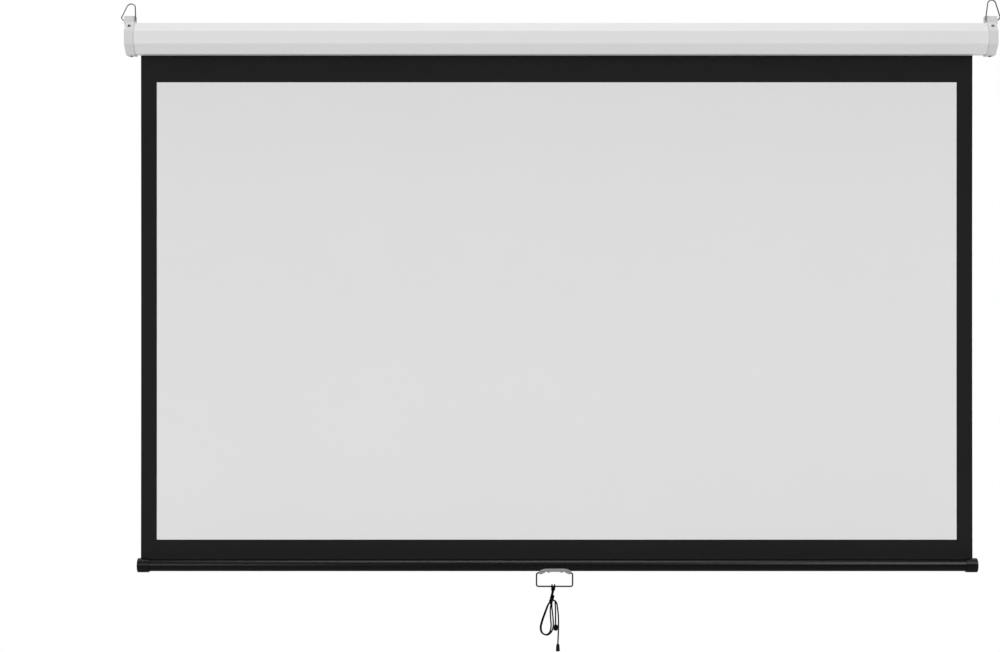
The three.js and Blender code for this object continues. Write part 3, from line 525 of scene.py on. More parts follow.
def rounded(points, radii, steps, closed=False):
    """Rounds the corners of a run of points with arcs of the given radii."""
    out = []
    count = len(points)
    for i, point in enumerate(points):
        if not radii[i] or (not closed and i in (0, count - 1)):
            out.append(point.copy())
            continue
        into = (point - points[i - 1]).normalized()
        away = (points[(i + 1) % count] - point).normalized()
        bend = into.angle(away)
        start = point - into * radii[i] * math.tan(bend / 2)
        side = (away - into * into.dot(away)).normalized()
        middle = start + side * radii[i]
        arcs = max(2, round(steps * bend / (math.pi / 2)))
        for k in range(arcs + 1):
            angle = bend * k / arcs
            out.append(
                middle
                - side * radii[i] * math.cos(angle)
                + into * radii[i] * math.sin(angle)
            )
    return out


def spline(points, step):
    """A smooth curve through points, sampled about one step apart."""
    ends = [2 * points[0] - points[1], *points, 2 * points[-1] - points[-2]]
    fine = [points[0].copy()]
    for a, b, c, d in zip(ends, ends[1:], ends[2:], ends[3:]):
        first, span, last = ((q - p).length ** 0.5 for p, q in ((a, b), (b, c), (c, d)))
        leave = ((b - a) / first - (c - a) / (first + span) + (c - b) / span) * span
        reach = ((c - b) / span - (d - b) / (span + last) + (d - c) / last) * span
        parts = max(2, math.ceil((c - b).length / step))
        for k in range(1, parts + 1):
            t = k / parts
            fine.append(
                b
                + leave * t
                + (3 * (c - b) - 2 * leave - reach) * t**2
                + (2 * (b - c) + leave + reach) * t**3
            )
    return fine


def tube(points, radius, sides, relief=None):
    """A tube along points with a face over each end. relief gives how far the surface sinks at
    a distance along the tube and an angle round it."""
    tangents = [
        (points[min(i + 1, len(points) - 1)] - points[max(i - 1, 0)]).normalized()
        for i in range(len(points))
    ]
    normal = tangents[0].orthogonal().normalized()
    rings, far = [], 0.0
    for i, (point, tangent) in enumerate(zip(points, tangents)):
        if i:
            far += (point - points[i - 1]).length
            normal = tangents[i - 1].rotation_difference(tangent) @ normal
        normal = (normal - tangent * normal.dot(tangent)).normalized()
        third = tangent.cross(normal)
        rings.append([])
        for angle in angles(sides):
            deep = relief(far, angle) if relief else 0.0
            out = normal * math.cos(angle) + third * math.sin(angle)
            rings[-1].append(point + out * (radius - deep))
    return skin(rings)


# Pull cord

CORD_Y = hem_low.y + (hem_high.y - hem_low.y) / 2
HITCH_X = -16.6 * MM
HITCH_SPREAD = 2.9 * MM
KNOT_RADIUS = 6.0 * MM
KNOT = Vector((-20.6 * MM, CORD_Y, -1343.3 * MM))
END_KNOT_RADIUS = 6.2 * MM
END_KNOT = Vector((-11.5 * MM, CORD_Y - 4.2 * MM, -1408.4 * MM))
TIP_TOP = Vector((-6 * MM, CORD_Y + 0.8 * MM, tip_high.z))
CORD_STEP = 0.45 * MM  # between the rings of a strand
CORD_SIDES = 26

# Where the two stems leave the hitch, in millimetres
LEFT_STEM, RIGHT_STEM = -18.7, -15.8
STEM_BACK = 0.9
STEM_TOP = bail_low.z / MM - 3.2

Knot = namedtuple("Knot", "name node centre radius tall lean tip around through")
KNOTS = (
    Knot("pull_cord_knot", "cord_knot", KNOT, 5.2 * MM, 11.2 * MM, math.radians(17), 0.0, 8, 3),
    Knot("pull_cord_end_knot", "cord_end_knot", END_KNOT, END_KNOT_RADIUS, 7.0 * MM,
         math.radians(8), 0.5, 3, 4),
)


def drop(x, y, z):
    """A point of the cord's route in millimetres, with y measured from the stem."""
    return Vector((x * MM, CORD_Y + y * MM, z * MM))


def leave(x, y, z, radius):
    """Two points by which a strand leaves the knot that way."""
    way = Vector((x, y, z)).normalized()
    near = KNOT_RADIUS + FIT
    return [KNOT + way * near, KNOT + way * (near + 2 * radius)]


def routes(radius):
    """The points of each strand, in the order the cord runs."""

    def back(x, y, z):
        return leave(x, y, z, radius)[::-1]

    return {
        "pull_cord_short": [
            drop(LEFT_STEM, STEM_BACK, STEM_TOP), drop(LEFT_STEM, STEM_BACK, STEM_TOP - 2.6),
            drop(-19.3, 0.3, -1327), *back(-0.08, -0.28, 1), KNOT + Vector((1.0, -1.7, 0.6)) * MM,
            *leave(0.84, -0.3, -0.42, radius), drop(-12.4, -3, -1352.5),
            drop(-11.6, -3.4, -1364), drop(-11.5, -4, -1384), drop(-11.5, -4.2, -1398),
            END_KNOT + Vector((0, 0, END_KNOT_RADIUS - 1.5 * MM)),
        ],
        "pull_cord_long": [
            drop(RIGHT_STEM, STEM_BACK, STEM_TOP), drop(RIGHT_STEM, 1, STEM_TOP - 2.6),
            drop(-16.9, 1.9, -1327), *back(0.2, 0.28, 1), KNOT + Vector((1.2, 1.7, 0.6)) * MM,
            *leave(0.84, 0.3, -0.42, radius), drop(-9.2, 1.9, -1351.5), drop(-6.6, 1.6, -1364),
            drop(-4.8, 1.2, -1384), drop(-4.5, 1, -1404), drop(-5, 0.8, -1424),
            drop(-5.8, 0.8, -1442.4), TIP_TOP - Vector((0, 0, 2.5 * MM)),
        ],
        "pull_cord_front_loop": [
            *leave(-0.62, -0.27, -0.8, radius), drop(-29.6, -3.1, -1356),
            drop(-37, -3.3, -1374.5), drop(-43.6, -3.3, -1393), drop(-46.9, -3.2, -1409.5),
            drop(-43.2, -3, -1420.8), drop(-34, -2.9, -1424.9), drop(-25.5, -2.9, -1419.8),
            drop(-22, -2.9, -1406.5), drop(-22.8, -2.9, -1388), drop(-23.6, -2.9, -1368),
            *back(-0.16, -0.27, -1),
        ],
        "pull_cord_back_loop": [
            *leave(-0.55, 0.32, -0.85, radius), drop(-28.2, 2.2, -1356.5),
            drop(-34.8, 2, -1374.5), drop(-41.3, 1.8, -1393), drop(-44.9, 1.6, -1409.5),
            drop(-41.5, 1.6, -1421.8), drop(-32, 1.6, -1426.6), drop(-22.5, 1.6, -1421.2),
            drop(-17.2, 1.6, -1409), drop(-16.6, 1.6, -1396), drop(-18.1, 1.8, -1378),
            drop(-19.8, 2, -1362), *back(0.06, 0.32, -1),
        ],
    }


def braid(settings):
    """How deep the braid's furrows are at a distance along and an angle round the cord."""

    def deep(far, angle):
        twist = TURN * far / settings.braid
        one = (settings.strands * angle + twist) / 2
        other = (settings.strands * angle - twist) / 2
        over = 0.5 + 0.5 * math.cos(one + other) * math.cos(one - other)
        crown = max(abs(math.sin(one)) * over, abs(math.sin(other)) * (1 - 0.6 * over))
        return settings.relief * (1 - crown)

    return deep


def hitch_line(radius, wire):
    """A cow hitch: up behind the wire, over it, across the front, and back the same way."""
    far = wire + FIT + radius
    z = cord_axis.z
    half = [
        (HITCH_SPREAD + 0.2 * MM, far * 0.75, z - far * 0.75),
        (HITCH_SPREAD, far, z),
        (HITCH_SPREAD, far * 0.7, z + far * 0.7),
        (HITCH_SPREAD, 0, z + far),
        (HITCH_SPREAD, -far * 0.7, z + far * 0.7),
        (HITCH_SPREAD, -far, z),
        (HITCH_SPREAD - 0.6 * MM, -far * 1.2, z - 0.5 * radius),
    ]
    right = [Vector((HITCH_X + x, CORD_Y + y, h)) for x, y, h in half]
    left = [Vector((HITCH_X - x, CORD_Y + y, h)) for x, y, h in half]
    front = Vector((HITCH_X, CORD_Y - far * 1.3, z - 0.6 * radius))
    first, last = (drop(x, STEM_BACK, STEM_TOP) for x in (LEFT_STEM, RIGHT_STEM))
    return [first, *left, front, *right[::-1], last]


def seizing_line(radius, wire):
    """The turns that bind the two stems together under the wire, drawn in towards the foot."""
    turns, steps = 2, 20
    wide, narrowing, shift = 3.9 * MM, 1.2 * MM, 0.6 * MM
    deep, pitch = radius + 1.6 * MM, 1.85 * radius
    top = cord_axis.z - (wire + FIT + radius)
    count = turns * steps
    out = []
    for k in range(count + 1):
        down = k / count
        angle = TURN * k / steps
        out.append(Vector((
            HITCH_X - shift * down - (wide - narrowing * down) * math.cos(angle),
            CORD_Y + STEM_BACK * MM - deep * math.sin(angle),
            top - pitch * k / steps,
        )))
    return out


def knot_line(knot, cord):
    """A cord drawn tight into a knot, which goes through it while it goes round and round."""
    body = knot.radius - cord
    ring, rise = body * 0.6, body * 0.4
    count = 24 * max(knot.around, knot.through)
    aim = Matrix.Rotation(knot.lean, 3, "Y") @ Matrix.Rotation(knot.tip, 3, "X")
    out = []
    for k in range(count):
        t = TURN * k / count
        far = ring + rise * math.cos(knot.through * t)
        out.append(knot.centre + aim @ Vector((
            far * math.cos(knot.around * t),
            far * math.sin(knot.around * t),
            (knot.tall - cord) * math.sin(knot.through * t),
        )))
    return out


def knot_core(knot):
    """The cord inside a knot, which fills the gaps between its turns."""
    wide, tall = 0.72 * knot.radius, 0.8 * knot.tall
    aim = Matrix.Rotation(knot.lean, 3, "Y")
    profile = [
        (wide * math.sin(a), tall * math.cos(a))
        for a in (math.pi * (k + 0.05) / 12 for k in range(12))
    ]
    return lathe(profile, knot.centre, aim @ Vector((0, 0, 1)), 24)


class SCREEN_OT_pull_cord(Operator):
    """Lays the braided pull cord with its hitch, knots, loops, tails and bell"""

    bl_idname = "screen.pull_cord"
    bl_label = "Pull cord"

    def execute(self, context):
        settings = context.scene.cord_settings
        radius = settings.radius
        cloth = finish_named("Braided cord", cord_cloth, settings.colour)
        bell = finish_named("Bell plastic", moulded, settings.bell, 0.42, 0.4 * MM, 0.35)
        relief = braid(settings)

        def braided(line):
            return tube(line, radius, CORD_SIDES, relief)

        def lay(name, shape, nodes):
            return piece(name, shape, "pull_cord", cloth, nodes)

        stands_for = {
            "pull_cord_short": ["cord_stem_left", "cord_tail_short"],
            "pull_cord_long": ["cord_stem_right", "cord_tail_long"],
            "pull_cord_front_loop": ["cord_loop_front"],
            "pull_cord_back_loop": ["cord_loop_back"],
        }
        strands, lines = {}, {}
        for name, points in routes(radius).items():
            lines[name] = spline(points, CORD_STEP)
            strands[name] = lay(name, braided(lines[name]), stands_for[name])
        wire = context.scene.bar_settings.wire
        turns = (hitch_line(radius, wire), seizing_line(radius, wire))
        hitch = lay(
            "pull_cord_hitch", together(*(braided(spline(line, CORD_STEP)) for line in turns)),
            ["cord_hitch"],
        )
        for knot in KNOTS:
            line = knot_line(knot, radius)
            shape = together(braided(spline([*line, line[0]], CORD_STEP)), knot_core(knot))
            lay(knot.name, shape, [knot.node])
        tip = piece(
            "pull_cord_bell", bell_shape(), "pull_cord", bell, ["cord_tip"]
        )
        for name, strand in strands.items():
            line = lines[name]
            sum((b - a).length for a, b in zip(line, line[1:]))
        return {"FINISHED"}


# The bell's outline: shares of its widest radius, and of its height down from the top
BELL_SHARES = (
    (0, 0), (0.44, 0), (0.5, 0.012), (0.62, 0.05), (0.72, 0.11), (0.79, 0.2), (0.845, 0.32),
    (0.885, 0.5), (0.925, 0.7), (0.955, 0.86), (0.955, 0.895), (1, 0.91), (1, 0.985), (0.97, 1),
    (0.76, 1), (0.71, 0.97), (0.58, 0.86), (0.42, 0.76), (0, 0.74),
)


def bell_shape():
    """The moulded bell on the cord's end, with a domed crown, a lip and an open mouth."""
    tall = tip_high.z - tip_low.z
    wide = (tip_high.x - tip_low.x) / 2
    profile = [(wide * out, tall * down) for out, down in BELL_SHARES]
    return lathe(profile, TIP_TOP, (0, 0, -1))


# Sheet


# The sheet's waves: share of the depth, rate across half the sheet, start, and drift on the
# way down
WAVES = ((0.6, 6.6, 0.5, 1), (0.4, 15.3, 0, -2))


def wave(settings, x, z):
    """How far the sheet stands back from its plane at a place."""
    down = (backing_high.z - z) / (backing_high.z - backing_low.z)
    swell = math.sin(math.pi * min(1, max(0, down)))
    middle = (backing_low.x + backing_high.x) / 2
    half = (backing_high.x - backing_low.x) / 2
    across = (x - middle) / half
    waves = sum(
        part * math.sin(rate * across + start + drift * down)
        for part, rate, start, drift in WAVES
    )
    edge = max(0, 1 - (half - abs(x - middle)) / settings.curl_width)
    return swell * (settings.ripple * (1 + waves) / 2 + settings.curl * edge**2)


def panel(settings, low, high, front, back, columns, rows):
    """A thin sheet between two corners, closed all round, that follows the waves."""
    xs = [low.x + (high.x - low.x) * i / columns for i in range(columns + 1)]
    zs = [low.z + (high.z - low.z) * k / rows for k in range(rows + 1)]
    layers = []
    for y in (front, back):
        layers.append([Vector((x, y + wave(settings, x, z), z)) for z in zs for x in xs])
    wide, size = columns + 1, (columns + 1) * (rows + 1)
    faces = []
    for k in range(rows):
        for i in range(columns):
            a = k * wide + i
            quad = (a, a + 1, a + wide + 1, a + wide)
            faces.append(quad)
            faces.append(tuple(size + j for j in reversed(quad)))
    rim = list(range(columns))
    rim += [k * wide + columns for k in range(rows)]
    rim += [rows * wide + i for i in range(columns, 0, -1)]
    rim += [k * wide for k in range(rows, 0, -1)]
    for a, b in zip(rim, rim[1:] + rim[:1]):
        faces.append((b, a, size + a, size + b))
    return layers[0] + layers[1], faces


def black_cloth(settings):
    """The black cloth of the border, the back, the hem and the roll."""
    return finish_named(
        "Black cloth", coated_cloth, settings.black, 0.72, settings.thread, 0.12, 0.03 * MM
    )


SHEET_GRID = (150, 90)  # columns and rows
SHEET_CREASE = 60  # degrees, so that the waves shade smoothly
COAT_SINK = 0.02 * MM  # how far the white coat reaches into the cloth behind it


class SCREEN_OT_sheet(Operator):
    """Hangs the coated sheet with its white picture area, borders and hem"""

    bl_idname = "screen.sheet"
    bl_label = "Sheet"

    def execute(self, context):
        settings = context.scene.sheet_settings
        black = black_cloth(settings)
        white = finish_named(
            "White cloth", coated_cloth, settings.white, 0.86, settings.thread, 0.012, 0.02 * MM
        )
        backing = piece(
            "sheet_cloth",
            panel(settings, backing_low, backing_high, backing_low.y, backing_high.y, *SHEET_GRID),
            "housing", black, ["screen_backing"], angle=SHEET_CREASE,
        )
        coat_back = white_high.y + COAT_SINK
        face = piece(
            "sheet_white_face",
            panel(settings, white_low, white_high, white_low.y, coat_back, *SHEET_GRID),
            "housing", white, ["viewing_surface"], angle=SHEET_CREASE,
        )
        hem = piece(
            "sheet_hem_cloth", hem_shape(), "bottom_bar", black, ["sheet_hem"]
        )
        travel = joint("screen_travel")["range_m"][1]
        fall = backing_high.z - backing_low.z
        for cloth in (backing, face):
            1 - travel / fall
            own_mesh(cloth)
        return {"FINISHED"}


def hem_shape():
    """The lower border, with two welded lines above the bar, and the pocket round the rod."""
    rod_z = (rod_low.z + rod_high.z) / 2
    rod_y = (rod_low.y + rod_high.y) / 2
    pocket = (hem_high.y - hem_low.y) / 2
    ply, sides = 0.45 * MM, 40
    welds, groove, depth = (9 * MM, 5 * MM), 0.5 * MM, 0.14 * MM
    outline = [(rod_y - ply, hem_high.z)]
    for rise in welds:
        weld = bar_top + rise
        outline += [
            (rod_y - ply, weld + groove), (rod_y - ply + depth, weld),
            (rod_y - ply, weld - groove),
        ]
    outline.append((rod_y - ply, rod_z + pocket - ply))
    mirrored = [(2 * rod_y - y, z) for y, z in reversed(outline)]
    strip = skin([
        [Vector((x, y, z)) for y, z in outline + mirrored] for x in (hem_low.x, hem_high.x)
    ])
    rings = [
        [round_x(x, rod_y, rod_z, radius, a) for a in angles(sides)]
        for x, radius in (
            (hem_low.x, pocket), (hem_high.x, pocket),
            (hem_high.x, pocket - ply), (hem_low.x, pocket - ply),
        )
    ]
    return together(strip, skin(rings, closed=True))


# Case, caps, screws and rings


class SCREEN_OT_case(Operator):
    """Paints the rolled case and finishes the moulded end caps"""

    bl_idname = "screen.case"
    bl_label = "Case and end caps"

    def execute(self, context):
        settings = context.scene.case_settings
        dress(
            finish_named("White paint", powder_coat, settings.paint, 0.42, settings.peel),
            "case_shell",
        )
        dress(
            finish_named("Cap plastic", moulded, settings.plastic, 0.5, settings.grain),
            "end_cap_left", "end_cap_right",
        )
        return {"FINISHED"}


Screw = namedtuple("Screw", "head height shank cross")
CAP_SCREW = Screw(4 * MM, 2.4 * MM, 1.9 * MM, (5.2 * MM, 1.5 * MM, 1.4 * MM))
SADDLE_SCREW = Screw(2.9 * MM, 1.7 * MM, 1.5 * MM, (3.2 * MM, 0.8 * MM, 0.9 * MM))


def pan_head(seat, way, screw, deep):
    """A domed screw head with a cross recess, on a plain shank with a rounded point. A screw
    has its head's radius and height, its shank's radius, and how long, wide and deep its cross is."""
    axes = square_to(way)
    head, height, shank, (long, wide, sunk) = screw
    wall_share, end_slope = 0.25, 0.7
    dome_share, shoulder_share = 0.42, 0.3
    wall = wide * wall_share
    sides, rings = 96, 34

    def crown(radius, angle):
        far = radius / head
        top = height * (1 - dome_share * far**2 - shoulder_share * far**10)
        a, b = abs(radius * math.cos(angle)), abs(radius * math.sin(angle))
        edge = min(
            max(one - wide / 2, (other - long / 2) * end_slope)
            for one, other in ((b, a), (a, b))
        )
        inside = min(1, max(0, -edge / wall))
        return top - sunk * inside * inside * (3 - 2 * inside)

    def ring(radius, height_at):
        return [about(seat, axes, height_at(a), radius, a) for a in angles(sides)]

    loops = [ring(0.02 * shank, lambda a: -deep), ring(shank * 0.6, lambda a: -deep)]
    loops += [ring(shank, lambda a: -deep + 0.5 * shank), ring(shank, lambda a: 0)]
    loops += [ring(head * 0.97, lambda a: 0), ring(head, lambda a: 0.04 * height)]
    for k in range(rings, -1, -1):
        radius = head * max(0.01, k / rings)
        loops.append(ring(radius, lambda a, r=radius: crown(r, a)))
    return skin(loops)


CAP_SCREW_X = 994.2 * MM
CAP_SCREW_LENGTH = 9.5 * MM
RECESS_SHADE_HEIGHT = 1.85 * MM  # height above the seat below which a recess gets painted shade
RECESS_SHADE_REACH = 2.9 * MM  # and how far from the screw's middle
CAP_SEATS = {
    "front": (Vector((0, -58.0, -18.25)) * MM, Vector((0, -21.5, 19.0)).normalized()),
    "bottom": (Vector((0, -34.25, -79.5)) * MM, Vector((0, 0, -1))),
}
CAP_STANDOFF = 2.8 * MM


class SCREEN_OT_screws(Operator):
    """Drives the cross-head screws of the end caps and of the handle's saddle"""

    bl_idname = "screen.screws"
    bl_label = "Screws"

    def execute(self, context):
        settings = context.scene.fitting_settings
        for seat, (place, way) in CAP_SEATS.items():
            seats = {
                side: place + way * CAP_STANDOFF + Vector((sign * CAP_SCREW_X, 0, 0))
                for side, sign in (("left", -1), ("right", 1))
            }
            # Each cap screw's finish paints shade down in its cross recess
            zinc = finish_named(
                f"Bright zinc {seat}", screw_metal_with_recess_shade, settings.zinc, 0.24, settings.recess,
                list(seats.values()), way, RECESS_SHADE_HEIGHT, RECESS_SHADE_REACH,
            )
            for side, where in seats.items():
                piece(
                    f"cap_screw_{side}_{seat}_head",
                    pan_head(where, way, CAP_SCREW, CAP_SCREW_LENGTH),
                    "housing", zinc, [f"cap_screw_{side}_{seat}"],
                )
        steel = saddle_finish(context.scene.bar_settings)
        for side in ("left", "right"):
            low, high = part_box(f"saddle_screw_{side}")
            seat = (low + high) / 2
            seat.z = low.z + SADDLE_SCREW.height
            piece(
                f"saddle_screw_{side}_head",
                pan_head(seat, (0, 0, -1), SADDLE_SCREW, high.z - seat.z),
                "bottom_bar", steel, [f"saddle_screw_{side}"],
            )
        return {"FINISHED"}


RING_PIVOT = Vector((0, -31.0, 1.5)) * MM
RING_LEFT_LEAN = 27  # degrees back from upright
RING_BLOCK = (989.0 * MM, 1011.5 * MM)  # inner and outer side of the right-hand hanger block
RING_HOLE = 6 * MM  # depth of the hole in each side
RING_INNER_LEG = 3.7 * MM  # from the block out to the inner leg
RING_PEAK = Vector((10.2, 0, 81.5)) * MM  # from the inner leg's foot to where the legs' lines cross
RING_OUTER_FOOT = Vector((7.8, 0, 6.5)) * MM  # from the block
RING_FOOT_RUN = 2.5 * MM  # straight wire between the block and the outer foot
RING_APEX_BEND, RING_FOOT_BEND = 9.6 * MM, 2.2 * MM


def ring_line(steps=16):
    """The bent wire of a hanger ring at the right-hand end, standing upright on its pivot."""
    inner, outer = (Vector((x, 0, 0)) for x in RING_BLOCK)
    depth = Vector((RING_HOLE - FIT, 0, 0))
    leg = inner - Vector((RING_INNER_LEG, 0, 0))
    corners = [
        inner + depth, leg, leg + RING_PEAK, outer + RING_OUTER_FOOT,
        outer + Vector((RING_FOOT_RUN, 0, 0)), outer - depth,
    ]
    foot = RING_FOOT_BEND
    return rounded(corners, [0, foot, RING_APEX_BEND, foot, foot, 0], steps)


class SCREEN_OT_rings(Operator):
    """Bends the two chrome hanger rings"""

    bl_idname = "screen.rings"
    bl_label = "Hanger rings"

    def execute(self, context):
        settings = context.scene.fitting_settings
        chrome = finish_named(
            "Ring chrome", bright_metal, settings.chrome, 0.12, (1, 1, 0.15), 0.001 * MM
        )
        for side, lean, sign in (("left", RING_LEFT_LEAN, -1), ("right", 0, 1)):
            back, up = math.sin(math.radians(lean)), math.cos(math.radians(lean))
            line = [
                RING_PIVOT + Vector((sign * p.x, p.z * back, p.z * up))
                for p in ring_line()
            ]
            piece(
                f"hanger_ring_{side}_wire", tube(line, settings.wire, settings.sides),
                f"ring_{side}", chrome, [f"hanger_ring_{side}"],
            )
        return {"FINISHED"}


# Roller, lock and spring


def roll_shape():
    """A turn and a half of sheet, wound into a spiral on the roller."""
    low = roller_high.z - roller_axis.z + FIT
    high = wrap_high.z - roller_axis.z
    turns, ply = 1.5, 0.4 * MM
    count = 96
    inside, outside = [], []
    for k in range(count + 1):
        angle = -TURN * turns * (1 - k / count)
        radius = low + (high - ply - low) * k / count
        inside.append((radius, angle))
        outside.append((radius + ply, angle))
    outline = inside + outside[::-1]
    return skin([
        [round_x(x, roller_axis.y, roller_axis.z, *point) for point in outline]
        for x in (wrap_low.x, wrap_high.x)
    ])


SPRING_SIDES = 14


def spring_line(steps=20):
    """The middle of the spring's wire, wound on the roller's axis."""
    low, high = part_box("torsion_spring")
    wire, radius, turns = 1.0 * MM, 8.0 * MM, 24
    count = turns * steps
    return [
        round_x(
            low.x + wire + (high.x - low.x - 2 * wire) * k / count,
            roller_axis.y, roller_axis.z, radius, TURN * k / steps,
        )
        for k in range(count + 1)
    ], wire


class SCREEN_OT_works(Operator):
    """Finishes the roller, its plugs, the lock and the spring inside the case"""

    bl_idname = "screen.works"
    bl_label = "Roller, lock and spring"

    def execute(self, context):
        settings = context.scene.fitting_settings
        steel = finish_named("Turned steel", bright_metal, settings.steel, 0.34, (0.15, 1, 1))
        black = black_cloth(context.scene.sheet_settings)
        dress(
            finish_named(
                "Roller aluminium", bright_metal, settings.aluminium, 0.34, (0.03, 1, 1)
            ),
            "roller_tube",
        )
        dress(
            finish_named("Nylon", moulded, settings.nylon, 0.42, 0.8 * MM),
            "idler_plug", "idler_bush", "lock_plug", "spring_anchor",
        )
        dress(
            steel, "idler_pin", "ratchet_disc", "pawl_upper", "pawl_lower", "pawl_pin_upper",
            "pawl_pin_lower", "spring_spindle", "spring_collar", "hem_rod",
        )
        piece("sheet_roll", roll_shape(), "roller", black, ["sheet_wrap"])
        line, wire = spring_line()
        coil = finish_named("Spring steel", bright_metal, settings.spring, 0.36, (0.4, 1, 1))
        piece(
            "torsion_spring_coil", tube(line, wire, SPRING_SIDES), "housing",
            coil, ["torsion_spring"],
        )
        return {"FINISHED"}


# Bottom bar and handle


class SCREEN_OT_bottom_bar(Operator):
    """Finishes the bottom bar and its caps"""

    bl_idname = "screen.bottom_bar"
    bl_label = "Bottom bar"

    def execute(self, context):
        settings = context.scene.bar_settings
        dress(
            finish_named("Bar paint", powder_coat, settings.paint, 0.2, 1.2 * MM, 0.4),
            "bar_tube",
        )
        dress(
            finish_named("Bar cap plastic", moulded, settings.plastic, 0.25, 0.5 * MM, 0.36),
            "bar_cap_left", "bar_cap_right",
        )
        return {"FINISHED"}


def saddle_finish(settings):
    """Dull plated steel, for the saddle and its screws."""
    return finish_named(
        "Saddle steel", bright_metal, settings.saddle, 0.45, (0.1, 1, 1), 0.004 * MM, 0.35
    )


BAIL_END = 13.95 * MM  # from the middle of a leg in to the wire's end in its knuckle
BAIL_BEND = 4.6 * MM
BAIL_SIDES, BAIL_BEND_STEPS = 28, 18


class SCREEN_OT_handle(Operator):
    """Finishes the pressed saddle and bends the wire handle"""

    bl_idname = "screen.handle"
    bl_label = "Handle"

    def execute(self, context):
        settings = context.scene.bar_settings
        dress(saddle_finish(settings), "handle_saddle")
        wire = settings.wire
        left, right = bail_low.x + wire, bail_high.x - wire
        y = (bail_low.y + bail_high.y) / 2
        bottom, top = cord_axis.z, bail_axis.z
        corners = [
            Vector((x, y, z)) for x, z in (
                (left + BAIL_END, top), (left, top), (left, bottom),
                (right, bottom), (right, top), (right - BAIL_END, top),
            )
        ]
        line = rounded(corners, [0, *[BAIL_BEND] * 4, 0], BAIL_BEND_STEPS)
        piece(
            "handle_bail_wire", tube(line, wire, BAIL_SIDES), "bail",
            finish_named("Bail steel", bright_metal, settings.bail, 0.3, (1, 1, 1)),
            ["handle_bail"],
        )
        return {"FINISHED"}


# Stage


# Soft boxes in front of the screen that gloss shows: how far across each one starts and ends
# and how high, as parts of a way of length one, and its level
SOFT_BOXES = (
    (-0.34, -0.15, 0.14, 0.46, 2.1),
    (-0.13, 0.125, 0.97, 1.1, 4.3),
    (0.17, 0.34, 0.5, 0.8, 3.7),
)


def surroundings(tree, settings):
    """White to the camera, an even level for soft light, and for gloss a white wall behind the
    screen and a bright ceiling, with a dim room in front."""
    tree.nodes.clear()
    sky = Shades(tree)
    seen = sky.node("ShaderNodeLightPath", output="Is Camera Ray")
    glossy = sky.node("ShaderNodeLightPath", output="Is Glossy Ray")
    way = sky.node("ShaderNodeTexCoord", output="Generated")
    across, back, up = (
        sky.node("ShaderNodeSeparateXYZ", (), {0: way}, output=axis) for axis in range(3)
    )
    wall = sky.ramp(back, 0.05, 0.45)
    ceiling = 0.06 * sky.ramp(up, 0.86, 0.97)
    ground = 0.6 * sky.ramp(0 - up, 0.5, 0.9)
    window = 0.35 * sky.ramp(abs(across), 0.62, 0.74) * (1 - sky.ramp(abs(across), 0.8, 0.9))
    bright = wall.most(ceiling).most(ground).most(window)
    front = 1 - sky.ramp(back, 0.0, 0.2)
    for low, high, foot, head, level in SOFT_BOXES:
        bright = bright.most(
            level * front * sky.band(across, low, high, 0.03) * sky.band(up, foot, head, 0.06)
        )
    gloss = settings.dim + (1 - settings.dim) * bright
    soft = settings.sky * (1 - settings.side * across * across) * (1 - settings.lift * up)
    level = seen + (1 - seen) * (glossy * gloss + (1 - glossy) * soft)
    shell = sky.node("ShaderNodeBackground", (), {"Color": (1, 1, 1, 1), "Strength": level})
    sky.node("ShaderNodeOutputWorld", (), {"Surface": shell})


# Each lamp's strength setting, and its elevation, azimuth and width in degrees
LAMPS = (("Front light", "front", -1, -12, 50), ("Upper light", "over", 84, 12, 17))

SENSOR_WIDTH = 36  # millimetres
FLOOR_SIDES = 96
FLOOR_MOTTLE = 400 * MM
FLOOR_TONES = (0.84, 0.86)
FLOOR_IN_GLOSS = 0.14
FLOOR_FADE_SHARES = (0.35, 0.98)  # of its radius, between which it turns white to the camera


def grey(level):
    """An even grey."""
    return (level, level, level)


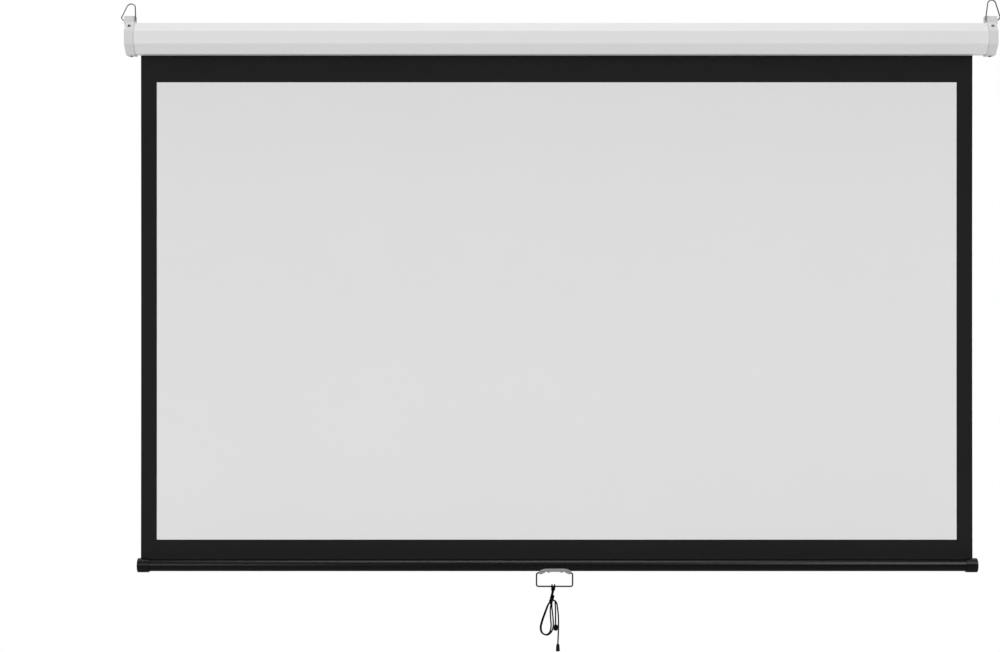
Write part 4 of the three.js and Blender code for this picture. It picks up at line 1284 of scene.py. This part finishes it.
class SCREEN_OT_stage(Operator):
    """Sets the camera, the lights, the pale floor and the white surroundings"""

    bl_idname = "screen.stage"
    bl_label = "Stage"

    def execute(self, context):
        settings = context.scene.stage_settings
        scene = context.scene
        scene.view_settings.view_transform = "Standard"
        camera = bpy.data.cameras.new("Camera")
        camera.lens = settings.lens
        camera.sensor_width = SENSOR_WIDTH
        eye = bpy.data.objects.new("Camera", camera)
        eye.location = (settings.across, white_low.y - settings.distance, settings.height)
        eye.rotation_euler = (math.pi / 2, 0, 0)
        scene.collection.objects.link(eye)
        scene.camera = eye

        for name, strength, elevation, azimuth, soft in LAMPS:
            lamp = bpy.data.lights.new(name, "SUN")
            lamp.energy = getattr(settings, strength)
            lamp.angle = math.radians(soft)
            light = bpy.data.objects.new(name, lamp)
            light.rotation_euler = (math.radians(90 - elevation), 0, math.radians(azimuth))
            light.visible_glossy = False
            scene.collection.objects.link(light)

        world = bpy.data.worlds.new("Surroundings")
        scene.world = world
        world.use_nodes = True
        surroundings(world.node_tree, settings)

        reach = settings.reach
        ring = [
            (reach * math.cos(a), reach * math.sin(a), settings.floor)
            for a in angles(FLOOR_SIDES)
        ]
        mesh = bpy.data.meshes.new("Floor")
        mesh.from_pydata(ring, [], [tuple(range(FLOOR_SIDES))])
        floor = bpy.data.objects.new("Floor", mesh)
        scene.collection.objects.link(floor)
        finish = Finish("Floor")
        mottle = finish.noise(FLOOR_MOTTLE, 2.0)
        glossy = finish.node("ShaderNodeLightPath", output="Is Glossy Ray")
        seen = finish.node("ShaderNodeLightPath", output="Is Camera Ray")
        out = finish.vector(
            "LENGTH", finish.vector("MULTIPLY", finish.place, (1, 1, 0)), output="Value"
        )
        rim = seen * finish.ramp(out, *(reach * part for part in FLOOR_FADE_SHARES))
        pale = finish.mix(mottle, *(grey(tone) for tone in FLOOR_TONES))
        shown = finish.mix(glossy, pale, grey(FLOOR_IN_GLOSS))
        mesh.materials.append(
            finish.surface(
                Base_Color=finish.mix(rim, shown, grey(0)), Roughness=0.9,
                Emission_Color=finish.mix(rim, grey(0), grey(1)), Emission_Strength=1.0,
            )
        )
        return {"FINISHED"}


class SCREEN_PT_build(Panel):
    """Lists the steps that dress the screen"""

    bl_label = "Projection screen"
    bl_idname = "SCREEN_PT_build"
    bl_space_type = "VIEW_3D"
    bl_region_type = "UI"
    bl_category = "Screen"

    def draw(self, context):
        for name in SETTINGS:
            box = self.layout.box()
            group = getattr(context.scene, name)
            for field in group.__annotations__:
                box.prop(group, field)
        for step in STEPS:
            self.layout.operator(step.bl_idname)


SETTINGS = {
    "stage_settings": StageSettings,
    "cord_settings": CordSettings,
    "sheet_settings": SheetSettings,
    "case_settings": CaseSettings,
    "fitting_settings": FittingSettings,
    "bar_settings": BarSettings,
}
STEPS = (
    SCREEN_OT_stage,
    SCREEN_OT_pull_cord,
    SCREEN_OT_sheet,
    SCREEN_OT_case,
    SCREEN_OT_screws,
    SCREEN_OT_rings,
    SCREEN_OT_works,
    SCREEN_OT_bottom_bar,
    SCREEN_OT_handle,
)


def register():
    for group in SETTINGS.values():
        bpy.utils.register_class(group)
    for name, group in SETTINGS.items():
        setattr(bpy.types.Scene, name, PointerProperty(type=group))
    for step in (*STEPS, SCREEN_PT_build):
        bpy.utils.register_class(step)


def unregister():
    for step in reversed((*STEPS, SCREEN_PT_build)):
        bpy.utils.unregister_class(step)
    for name, group in reversed(SETTINGS.items()):
        delattr(bpy.types.Scene, name)
        bpy.utils.unregister_class(group)


def main():
    """Dresses the screen."""
    register()
    bpy.ops.screen.stage()
    bpy.ops.screen.pull_cord()
    bpy.ops.screen.sheet()
    bpy.ops.screen.case()
    bpy.ops.screen.screws()
    bpy.ops.screen.rings()
    bpy.ops.screen.works()
    bpy.ops.screen.bottom_bar()
    bpy.ops.screen.handle()


if __name__ == "__main__":
    main()
